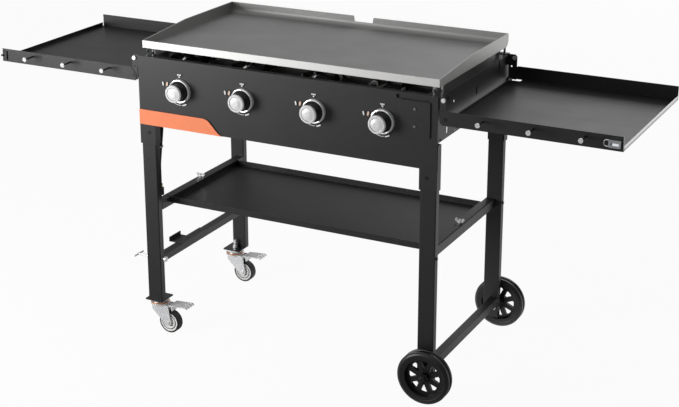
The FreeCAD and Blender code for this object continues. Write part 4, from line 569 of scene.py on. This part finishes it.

# %% [markdown]
# ## Caster centres and ties
#
# The caster wheel centres are injected polypropylene in near white, and the hose tie is nylon.
# The moulded centre has two raised rings on each side, and the tone is darker in two thin bands
# next to them, at set distances from the wheel's own axle. Beyond 28.4 mm the black lip of the tyre
# laps over it. Both casters stand in one line, so one axle place serves for both.

# %% Polypropylene and nylon
rim_low, rim_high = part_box("caster_rim_front")
OUTER_HOLLOW, OUTER_HALF = 0.0215, 0.0013
INNER_HOLLOW, INNER_HALF = 0.0125, 0.0011
TYRE_LIP = 0.0284
RIM_AXLE = ((rim_low.x + rim_high.x) / 2, 0.0, (rim_low.z + rim_high.z) / 2)
rim_plastic, tree, spot = start_finish("injected_polypropylene")
parts = add(tree, "SeparateXYZ", {"Vector": spot})
level = add(tree, "CombineXYZ", {0: parts.outputs[0], 1: 0.0, 2: parts.outputs[2]})
offset = add(tree, "VectorMath", {0: level, 1: RIM_AXLE}, operation="DISTANCE")
flow = add(tree, "TexNoise", {"Vector": spot, "Scale": 1 / 0.009, "Detail": 2.0})
tone = add(tree, "Mix", {0: flow, 6: linear("e3e3e2"), 7: linear("f4f4f3")}, data_type="RGBA")
outer_hollow = add(
    tree, "Math", {0: offset.outputs[1], 1: OUTER_HOLLOW, 2: OUTER_HALF}, operation="COMPARE"
)
inner_hollow = add(
    tree, "Math", {0: offset.outputs[1], 1: INNER_HOLLOW, 2: INNER_HALF}, operation="COMPARE"
)
hollow = add(tree, "Math", {0: outer_hollow, 1: inner_hollow}, operation="MAXIMUM")
banded_tone = add(tree, "Mix", {0: hollow, 6: tone.outputs[2], 7: linear("3b3b3a")}, data_type="RGBA")
lip = add(tree, "Math", {0: offset.outputs[1], 1: TYRE_LIP}, operation="GREATER_THAN")
lipped = add(tree, "Mix", {0: lip, 6: banded_tone.outputs[2], 7: linear("0d0d0d")}, data_type="RGBA")
dull = add(tree, "MapRange", {"Value": flow, "To Min": 0.36, "To Max": 0.50})
shader = add(tree, "BsdfPrincipled", {"Base Color": lipped.outputs[2], "Roughness": dull})
add(tree, "OutputMaterial", {"Surface": shader})

nylon, tree, spot = start_finish("natural_nylon")
flow = add(tree, "TexNoise", {"Vector": spot, "Scale": 1 / 0.004, "Detail": 2.0})
tone = add(tree, "Mix", {0: flow, 6: linear("dedcd4"), 7: linear("f0efea")}, data_type="RGBA")
shader = add(tree, "BsdfPrincipled", {"Base Color": tone.outputs[2], "Roughness": 0.42})
add(tree, "OutputMaterial", {"Surface": shader})
print("made", rim_plastic.name, "and", nylon.name)

# %% [markdown]
# ## Black nylon
#
# The hand nut of the hose is moulded in black nylon. The mould is spark eroded, which leaves a
# fine grit on the piece, so it is dark with a wide dull highlight.

# %% Black nylon
black_nylon, tree, spot = start_finish("moulded_black_nylon")
grit = add(tree, "TexNoise", {"Vector": spot, "Scale": 1 / 0.002, "Detail": 3.0})
tone = add(tree, "Mix", {0: grit, 6: linear("101010"), 7: linear("1b1b1b")}, data_type="RGBA")
dull = add(tree, "MapRange", {"Value": grit, "To Min": 0.42, "To Max": 0.56})
fine = add(tree, "Bump", {"Height": grit, "Strength": 0.12, "Distance": 0.0003})
shader = add(
    tree,
    "BsdfPrincipled",
    {"Base Color": tone.outputs[2], "Roughness": dull, "Normal": fine},
)
add(tree, "OutputMaterial", {"Surface": shader})
print("made", black_nylon.name)

# %% [markdown]
# ## Nodes with two finishes
#
# A few nodes hold pieces of two finishes, because identical or joined things share a node: pegs
# with chromed heads on black shanks, shelf screws whose locks are bright and whose pivots are
# black, stub axles with plastic caps, and a caster's black plate with its bright race and stud.
# Each gets a material that picks one of two shaders by the place along one axis. The two shaders
# are the plain ones of the finishes above, written again in small, because a material can't hold
# another. A row of the table holds the axis and the limit on it, then colour, metal and roughness
# above the limit and the same three below it.

# %% Pegs, screws, stub axles and caster mounts
TWO_FINISHES = {
    "peg_chrome_and_black": (1, -0.2913, "0e0e0f", 0.0, 0.40, "fafafa", 0.4, 0.16),
    "shelf_screw_zinc_and_black": (2, 0.8300, "fafafa", 0.4, 0.30, "141414", 0.0, 0.36),
    "field_screw_zinc_and_black": (1, -0.2583, "161616", 0.0, 0.34, "8f9091", 0.9, 0.34),
}
two_finish = {}
for name, row in TWO_FINISHES.items():
    axis, limit, far_code, far_metal, far_rough, near_code, near_metal, near_rough = row
    made, tree, spot = start_finish(name)
    haze = add(tree, "TexNoise", {"Vector": spot, "Scale": 1 / 0.004, "Detail": 3.0})
    waves = add(tree, "Bump", {"Height": haze, "Strength": 0.06, "Distance": 0.0003})
    far_gloss = add(
        tree, "MapRange", {"Value": haze, "To Min": far_rough - 0.05, "To Max": far_rough + 0.05}
    )
    near_gloss = add(
        tree, "MapRange", {"Value": haze, "To Min": near_rough - 0.05, "To Max": near_rough + 0.05}
    )
    far_side = add(
        tree,
        "BsdfPrincipled",
        {
            "Base Color": linear(far_code),
            "Metallic": far_metal,
            "Roughness": far_gloss,
            "Normal": waves,
        },
    )
    near_side = add(
        tree,
        "BsdfPrincipled",
        {
            "Base Color": linear(near_code),
            "Metallic": near_metal,
            "Roughness": near_gloss,
            "Normal": waves,
        },
    )
    parts = add(tree, "SeparateXYZ", {"Vector": spot})
    below = add(tree, "Math", {0: parts.outputs[axis], 1: limit}, operation="LESS_THAN")
    shader = add(tree, "MixShader", {0: below, 1: far_side, 2: near_side})
    add(tree, "OutputMaterial", {"Surface": shader})
    two_finish[name] = made
print("made", sorted(two_finish))

# %% Stub axles with caps, and caster mounts
CAP_FROM = 0.298
PLATE_UP, PLATE_HALF = 0.10675, 0.0014
axle_finish, tree, spot = start_finish("stub_axle_zinc_and_nylon_cap")
parts = add(tree, "SeparateXYZ", {"Vector": spot})
reach = add(tree, "Math", {0: parts.outputs[1]}, operation="ABSOLUTE")
cap_side = add(tree, "Math", {0: reach, 1: CAP_FROM}, operation="GREATER_THAN")
haze = add(tree, "TexNoise", {"Vector": spot, "Scale": 1 / 0.004, "Detail": 3.0})
dull = add(tree, "MapRange", {"Value": haze, "To Min": 0.30, "To Max": 0.46})
turned_steel = add(
    tree,
    "BsdfPrincipled",
    {"Base Color": linear("d9dbdd"), "Metallic": 1.0, "Roughness": dull},
)
cap_plastic = add(
    tree,
    "BsdfPrincipled",
    {"Base Color": linear("121212"), "Roughness": dull},
)
shader = add(tree, "MixShader", {0: cap_side, 1: turned_steel, 2: cap_plastic})
add(tree, "OutputMaterial", {"Surface": shader})

mount_low, mount_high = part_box("caster_mount_front")
mount_finish, tree, spot = start_finish("caster_plate_coat_and_zinc")
parts = add(tree, "SeparateXYZ", {"Vector": spot})
plate_band = add(
    tree, "Math", {0: parts.outputs[2], 1: PLATE_UP, 2: PLATE_HALF}, operation="COMPARE"
)
haze = add(tree, "TexNoise", {"Vector": spot, "Scale": 1 / 0.005, "Detail": 3.0})
dull = add(tree, "MapRange", {"Value": haze, "To Min": 0.26, "To Max": 0.42})
plated = add(
    tree,
    "BsdfPrincipled",
    {"Base Color": linear("f6f6f6"), "Metallic": 0.4, "Roughness": dull},
)
sprayed = add(
    tree,
    "BsdfPrincipled",
    {"Base Color": linear("191a1b"), "Roughness": dull},
)
shader = add(tree, "MixShader", {0: plate_band, 1: plated, 2: sprayed})
add(tree, "OutputMaterial", {"Surface": shader})
print(
    "made", axle_finish.name, "and", mount_finish.name, "for mounts up to", round(mount_high.z, 3)
)

# %% [markdown]
# ## Give the solids their finishes
#
# The record names a material slot for every node. A table from slot to finish dresses them all,
# and the nodes that need a finish of their own are dressed after it.

# %% Assign finishes by slot
FINISH_OF_SLOT = {
    "black_coat": coat,
    "caster_black": coat,
    "shelf_coat": shelf_coat,
    "griddle_steel": griddle,
    "stainless": stainless,
    "chrome": chrome,
    "zinc": zinc,
    "brass": brass,
    "ceramic": ceramic,
    "rubber": rubber,
    "tyre": tyre,
    "wheel_plastic": wheel_plastic,
    "rim_plastic": rim_plastic,
    "white_nylon": nylon,
}


def dress(node_name, finish):
    """Put one finish into every material slot of a CAD node."""
    item = frame["nodes"][node_name]
    if not item.material_slots:
        item.data.materials.append(finish)
    for place in item.material_slots:
        place.material = finish


for part in frame["record"]["subparts"]:
    dress(part["node"], FINISH_OF_SLOT[part["material_slot"]])
OWN_FINISH = {
    "frame_bolts": two_finish["field_screw_zinc_and_black"],
    "shelf_bolts": two_finish["shelf_screw_zinc_and_black"],
    "shelf_pegs_left": two_finish["peg_chrome_and_black"],
    "shelf_pegs_right": two_finish["peg_chrome_and_black"],
    "knob_bezels": satin_chrome,
    "wheel_axle": axle_finish,
    "coupling_nut": black_nylon,
    "caster_mount_front": mount_finish,
    "caster_mount_rear": mount_finish,
}
for n in range(1, 5):
    OWN_FINISH["knob_%d" % n] = knob_finish
for node_name, finish in OWN_FINISH.items():
    dress(node_name, finish)

# %% [markdown]
# ## Helpers for new pieces
#
# New pieces are made with the same operators as by hand. An operator works on all that is
# selected, and the solids are selected after loading, so each piece starts from an empty selection.
# When it is finished its place goes into its mesh, and it is given its finish and the body of the
# frame that it rides on.

# %% Selecting and settling
def fresh():
    """Deselect everything before a new piece."""
    if bpy.context.object and bpy.context.object.mode != "OBJECT":
        bpy.ops.object.mode_set(mode="OBJECT")
    bpy.ops.object.select_all(action="DESELECT")


def settle(piece, name, finish, body):
    """Put the place of a piece into its mesh, name it, finish it and let it ride on a body."""
    fresh()
    piece.select_set(True)
    bpy.context.view_layer.objects.active = piece
    bpy.ops.object.transform_apply(location=True, rotation=True, scale=True)
    piece.name = name
    piece.data.name = name
    piece.data.materials.clear()
    piece.data.materials.append(finish)
    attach(piece, body)
    return piece


def copied(piece, name, shift, finish, body):
    """A copy with its own mesh, moved by a vector."""
    twin = piece.copy()
    twin.data = piece.data.copy()
    twin.parent = None
    bpy.context.scene.collection.objects.link(twin)
    twin.location = shift
    return settle(twin, name, finish, body)


fresh()
print("selected now:", len(bpy.context.selected_objects))

# %% [markdown]
# ## Coloured strip
#
# A band of orange vinyl runs along the foot of the front panel from its left corner and leaves it
# in a soft S. It could be painted in the panel's material, but a thin piece keeps its edge crisp.
# It is a flat curve: straight runs along the panel and two rounded points for the S, filled and a
# fifth of a millimetre thick.

# %% Orange vinyl
vinyl, tree, spot = start_finish("orange_vinyl")
print_mottle = add(tree, "TexNoise", {"Vector": spot, "Scale": 1 / 0.02, "Detail": 3.0})
tone = add(
    tree,
    "Mix",
    {0: print_mottle, 6: linear("f4814f"), 7: linear("f98d5e")},
    data_type="RGBA",
)
shader = add(tree, "BsdfPrincipled", {"Base Color": tone.outputs[2], "Roughness": 0.5})
add(tree, "OutputMaterial", {"Surface": shader})
print("made", vinyl.name)

# %% Draw the strip on the panel
panel_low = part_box("front_panel")[0]
STRIP_TOP = panel_low.z + 0.0445
STRIP_TURN = -0.254
STRIP_END = -0.181
STRIP_THICK = 0.0002

fresh()
bpy.ops.curve.primitive_bezier_curve_add(location=(0, panel_low.y - STRIP_THICK / 2, 0))
strip = bpy.context.object
strip.rotation_euler = (math.pi / 2, 0, 0)
strip.data.dimensions = "2D"
strip.data.fill_mode = "BOTH"
strip.data.extrude = STRIP_THICK / 2
strip.data.resolution_u = 16
line = strip.data.splines[0]
line.bezier_points.add(3)
line.use_cyclic_u = True
left = panel_low.x + 0.0006
foot = panel_low.z + 0.0004
corners = [
    ((left, foot), (left, foot), (left, foot)),
    ((left, STRIP_TOP), (left, STRIP_TOP), (left, STRIP_TOP)),
    ((STRIP_TURN, STRIP_TOP), (STRIP_TURN - 0.01, STRIP_TOP), (STRIP_TURN + 0.022, STRIP_TOP)),
    (
        (STRIP_TURN + 0.036, STRIP_TOP - 0.019),
        (STRIP_TURN + 0.026, STRIP_TOP - 0.009),
        (STRIP_TURN + 0.050, STRIP_TOP - 0.034),
    ),
    ((STRIP_END, foot), (STRIP_END - 0.016, foot), (STRIP_END, foot)),
]
for point, (middle_spot, before, after) in zip(line.bezier_points, corners):
    point.handle_left_type = "FREE"
    point.handle_right_type = "FREE"
    point.co = (*middle_spot, 0)
    point.handle_left = (*before, 0)
    point.handle_right = (*after, 0)
bpy.ops.object.convert(target="MESH")
strip = settle(bpy.context.object, "accent_strip", vinyl, "frame")
print("strip has", len(strip.data.polygons), "faces")

# %% [markdown]
# ## Dial marks
#
# Round each knob the panel carries screen print: a short mark and a dot above for off, two little
# flames at the upper left for high, and an arc below that leads to low. The print is a tenth of a
# millimetre thick here so that it lies on the coat. One set is drawn, with
# points in metres from the knob's axis, and copied for the others.
# The larger flame is printed in a warm tint, so it is a piece of its own.

# %% White print
print_white, tree, spot = start_finish("white_screen_print")
grit = add(tree, "TexNoise", {"Vector": spot, "Scale": 1 / 0.003, "Detail": 2.0})
tone = add(tree, "Mix", {0: grit, 6: linear("e2e1dd"), 7: linear("f5f4f1")}, data_type="RGBA")
shader = add(tree, "BsdfPrincipled", {"Base Color": tone.outputs[2], "Roughness": 0.55})
add(tree, "OutputMaterial", {"Surface": shader})
print("made", print_white.name)

# %% Warm print
print_warm, tree, spot = start_finish("warm_screen_print")
grit = add(tree, "TexNoise", {"Vector": spot, "Scale": 1 / 0.003, "Detail": 2.0})
tone = add(tree, "Mix", {0: grit, 6: linear("dcb59d"), 7: linear("f0d3c0")}, data_type="RGBA")
shader = add(tree, "BsdfPrincipled", {"Base Color": tone.outputs[2], "Roughness": 0.55})
add(tree, "OutputMaterial", {"Surface": shader})
print("made", print_warm.name)

# %% One set of marks
PRINT_THICK = 0.0001
BAR_TOP, BAR_FOOT = 0.0485, 0.0455
SMALL_FLAME = [(-0.0540, 0.0096), (-0.0566, 0.0138), (-0.0560, 0.0212), (-0.0526, 0.0150)]
LARGE_FLAME = [(-0.0432, 0.0098), (-0.0448, 0.0142), (-0.0400, 0.0222), (-0.0386, 0.0150)]
print_y = panel_low.y - PRINT_THICK / 2


def flat_shape(points, name):
    """A closed flat outline in the plane of the panel, through the given points with automatic
    handles.
    """
    fresh()
    bpy.ops.curve.primitive_bezier_curve_add(location=(KNOB_ACROSS[0], print_y, KNOB_UP))
    shape = bpy.context.object
    shape.rotation_euler = (math.pi / 2, 0, 0)
    shape.data.dimensions = "2D"
    shape.data.fill_mode = "BOTH"
    shape.data.extrude = PRINT_THICK / 2
    shape.data.resolution_u = 8
    outline = shape.data.splines[0]
    outline.bezier_points.add(len(points) - 2)
    outline.use_cyclic_u = True
    for point, spot_xy in zip(outline.bezier_points, points):
        point.co = (*spot_xy, 0)
        point.handle_left_type = "AUTO"
        point.handle_right_type = "AUTO"
    bpy.ops.object.convert(target="MESH")
    bpy.context.object.name = name
    return bpy.context.object


def arc_shape(radius, width, start, end, name):
    """A band of an arc round the knob, between two angles in degrees."""
    count = 14
    angles = [math.radians(start + (end - start) * n / (count - 1)) for n in range(count)]
    far, near = radius + width / 2, radius - width / 2
    outer = [(far * math.cos(a), far * math.sin(a)) for a in angles]
    inner = [(near * math.cos(a), near * math.sin(a)) for a in reversed(angles)]
    return flat_shape(outer + inner, name)


def bar_shape(left, right, name):
    """One of the three short bars over the knob."""
    return flat_shape([(left, BAR_TOP), (left, BAR_FOOT), (right, BAR_FOOT), (right, BAR_TOP)], name)


marks = [
    bar_shape(-0.0062, -0.0028, "off_left"),
    bar_shape(-0.0016, 0.0016, "off_middle"),
    bar_shape(0.0028, 0.0062, "off_right"),
    flat_shape([(-0.0024, 0.0428), (0.0024, 0.0428), (0.0, 0.0392)], "off_arrow"),
    flat_shape(SMALL_FLAME, "flame_small"),
    arc_shape(0.0405, 0.0014, 238, 276, "low_arc"),
    arc_shape(0.0412, 0.0034, 282, 300, "low_mark"),
]
fresh()
for shape in marks:
    shape.select_set(True)
bpy.context.view_layer.objects.active = marks[0]
bpy.ops.object.join()
dial = settle(bpy.context.object, "dial_marks_1", print_white, "frame")
flame = settle(flat_shape(LARGE_FLAME, "flame_large"), "dial_flame_1", print_warm, "frame")
print("one set of marks has", len(dial.data.polygons) + len(flame.data.polygons), "faces")

# %% Copy the marks to the other knobs
for n in range(1, 4):
    shift = (KNOB_ACROSS[n] - KNOB_ACROSS[0], 0, 0)
    copied(dial, "dial_marks_%d" % (n + 1), shift, print_white, "frame")
    copied(flame, "dial_flame_%d" % (n + 1), shift, print_warm, "frame")
print("marks stand at", [round(x, 3) for x in KNOB_ACROSS])

# %% [markdown]
# ## Seal rings of the casters
#
# Between the race under the top plate and the fork of each caster sits a dust seal: a copper
# coloured ring with a bright steel one above it. Both are rounded rings round the king pin: a
# small circle, turned once round the pin's axis by a screw modifier, which lists the faces in the
# same order on every run. The king pin stands over the middle of the fork's crown, and its depth
# is that of the wheel's middle.

# %% Seal ring finishes
seal_finish, tree, spot = start_finish("copper_coloured_seal")
wear = add(tree, "TexNoise", {"Vector": spot, "Scale": 1 / 0.004, "Detail": 3.0})
tone = add(tree, "Mix", {0: wear, 6: linear("c98255"), 7: linear("e2a277")}, data_type="RGBA")
shader = add(
    tree, "BsdfPrincipled", {"Base Color": tone.outputs[2], "Metallic": 0.5, "Roughness": 0.38}
)
add(tree, "OutputMaterial", {"Surface": shader})
ring_steel, tree, spot = start_finish("polished_ring_steel")
wear = add(tree, "TexNoise", {"Vector": spot, "Scale": 1 / 0.004, "Detail": 3.0})
dull = add(tree, "MapRange", {"Value": wear, "To Min": 0.14, "To Max": 0.26})
shader = add(
    tree, "BsdfPrincipled", {"Base Color": linear("eeeff0"), "Metallic": 0.9, "Roughness": dull}
)
add(tree, "OutputMaterial", {"Surface": shader})
print("made", seal_finish.name, "and", ring_steel.name)

# %% Spin the rings
RING_STEPS = 56
fork_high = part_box("caster_fork_front")[1]
pin_x = (mount_low.x + mount_high.x) / 2
pin_y = (rim_low.y + rim_high.y) / 2


def spun_ring(radius, thick, height, name, finish):
    """A round ring about the front king pin, and its copy about the rear one."""
    fresh()
    bpy.ops.mesh.primitive_circle_add(
        vertices=12, radius=thick, location=(pin_x, pin_y, height), rotation=(math.pi / 2, 0, 0)
    )
    ring = bpy.context.object
    bpy.ops.object.transform_apply(location=False, rotation=True, scale=True)
    bpy.ops.object.mode_set(mode="EDIT")
    bpy.ops.mesh.select_all(action="SELECT")
    bpy.ops.transform.translate(value=(radius, 0, 0))
    bpy.ops.object.mode_set(mode="OBJECT")
    bpy.ops.object.modifier_add(type="SCREW")
    turn = ring.modifiers[0]
    turn.axis, turn.angle = "Z", 2 * math.pi
    turn.steps = turn.render_steps = RING_STEPS
    turn.use_merge_vertices, turn.merge_threshold = True, 0.00002
    bpy.ops.object.modifier_apply(modifier=turn.name)
    bpy.ops.object.mode_set(mode="EDIT")
    bpy.ops.mesh.select_all(action="SELECT")
    bpy.ops.mesh.normals_make_consistent(inside=False)
    bpy.ops.object.mode_set(mode="OBJECT")
    bpy.ops.object.shade_smooth()
    bpy.ops.object.transform_apply(location=True, rotation=True, scale=True)
    settle(ring, name + "_front", finish, "caster_front")
    copied(ring, name + "_rear", (0, -2 * pin_y, 0), finish, "caster_rear")
    return ring


seal = spun_ring(0.0268, 0.0018, fork_high.z + 0.0004, "seal_ring", seal_finish)
bright = spun_ring(0.0262, 0.0011, fork_high.z + 0.0034, "steel_ring", ring_steel)
print("the rings have", len(seal.data.polygons) + len(bright.data.polygons), "faces")

# %% [markdown]
# ## Studio
#
# The station stands on a pale floor in front of a white backdrop, and both are white to the
# camera, with a faint shadow on the floor. A black coat shows mostly what it mirrors. The wall and
# the floor behind the station are bright, so the shelves and the right sides of the legs get their
# sheen from there. The room on the camera's side is dim, as behind any photographer, so what faces
# the camera mirrors little and stays black towards the floor. Rays that mirror therefore see less
# white towards the front, in the floor and in the backdrop alike.

# %% Floor
DIM_FRONT, DIM_DEPTH = 0.24, 0.4
CAMERA_GLOW = 0.95
bpy.ops.mesh.primitive_plane_add(size=60, location=(0, 0, 0))
floor = bpy.context.object
floor.name = "studio_floor"
floor_finish, tree, spot = start_finish("pale_studio_floor")
rays = add(tree, "LightPath")
lit = add(tree, "BsdfDiffuse", {"Color": linear("e6e6e6")})
glow = add(tree, "Emission", {"Color": (1, 1, 1, 1), "Strength": 1.0})
parts = add(tree, "SeparateXYZ", {"Vector": spot})
depth = add(
    tree,
    "MapRange",
    {"Value": parts.outputs[1], "From Min": -DIM_DEPTH, "From Max": DIM_DEPTH, "To Min": DIM_FRONT},
)
mirror_glow = add(tree, "Emission", {"Color": (1, 1, 1, 1), "Strength": depth})
pale = add(tree, "MixShader", {0: CAMERA_GLOW, 1: lit, 2: glow})
mirrored = add(
    tree,
    "Math",
    {0: rays.outputs["Is Glossy Ray"], 1: rays.outputs["Is Transmission Ray"]},
    operation="MAXIMUM",
)
bounced = add(tree, "MixShader", {0: mirrored, 1: lit, 2: mirror_glow})
shader = add(tree, "MixShader", {0: rays.outputs["Is Camera Ray"], 1: bounced, 2: pale})
add(tree, "OutputMaterial", {"Surface": shader})
floor.data.materials.append(floor_finish)

# %% Backdrop and fill
world = bpy.data.worlds.new("studio_world")
bpy.context.scene.world = world
world.use_nodes = True
tree = world.node_tree
tree.nodes.clear()
rays = add(tree, "LightPath")
way = add(tree, "SeparateXYZ", {"Vector": add(tree, "TexCoord").outputs["Generated"]})
behind = add(
    tree,
    "MapRange",
    {"Value": way.outputs[1], "From Min": -0.2, "From Max": 0.2, "To Min": 0.15, "To Max": 0.40},
)
above = add(
    tree, "MapRange", {"Value": way.outputs[2], "From Min": 0.45, "From Max": 0.65, "To Max": 0.5}
)
room = add(tree, "Math", {0: behind, 1: above}, operation="MAXIMUM")
fill = add(tree, "Background", {"Color": (1, 1, 1, 1), "Strength": 0.2})
seen_room = add(tree, "Background", {"Color": (1, 1, 1, 1), "Strength": room})
white = add(tree, "Background", {"Color": (1, 1, 1, 1), "Strength": 1.0})
mirrored = add(
    tree,
    "Math",
    {0: rays.outputs["Is Glossy Ray"], 1: rays.outputs["Is Transmission Ray"]},
    operation="MAXIMUM",
)
bounced = add(tree, "MixShader", {0: mirrored, 1: fill, 2: seen_room})
sky = add(tree, "MixShader", {0: rays.outputs["Is Camera Ray"], 1: bounced, 2: white})
add(tree, "OutputWorld", {"Surface": sky})
print("backdrop is white to the camera")

# %% [markdown]
# ## Soft boxes
#
# Three lamps light the station. The key stands close to its left front corner at knob height, so
# its light falls off along the front and down the legs. A large box behind draws the sheen on the
# flat of the shelves, and a weak one in front opens the shadows.

# %% Place the soft boxes
def soft_box(name, spot_at, aim, size, power):
    """A square area light at a place, aimed at a point."""
    data = bpy.data.lights.new(name, "AREA")
    data.shape = "SQUARE"
    data.size = size
    data.energy = power
    lamp = bpy.data.objects.new(name, data)
    lamp.location = spot_at
    lamp.rotation_euler = (Vector(aim) - Vector(spot_at)).to_track_quat("-Z", "Y").to_euler()
    bpy.context.scene.collection.objects.link(lamp)
    return lamp


soft_box("key_box", (-1.7, -2.0, 1.0), (-0.3, -0.25, 0.7), 1.0, 44)
soft_box("back_box", (0, 5.5, 2.2), (0, 0, 0.6), 3.0, 42)
soft_box("front_box", (-1.0, -4.5, 1.8), (0, 0, 0.7), 2.0, 12)
print("three soft boxes placed")

# %% [markdown]
#
# The Standard view shows a colour as it was written. Nothing here may make it bigger.

# %% View
bpy.context.scene.view_settings.view_transform = "Standard"
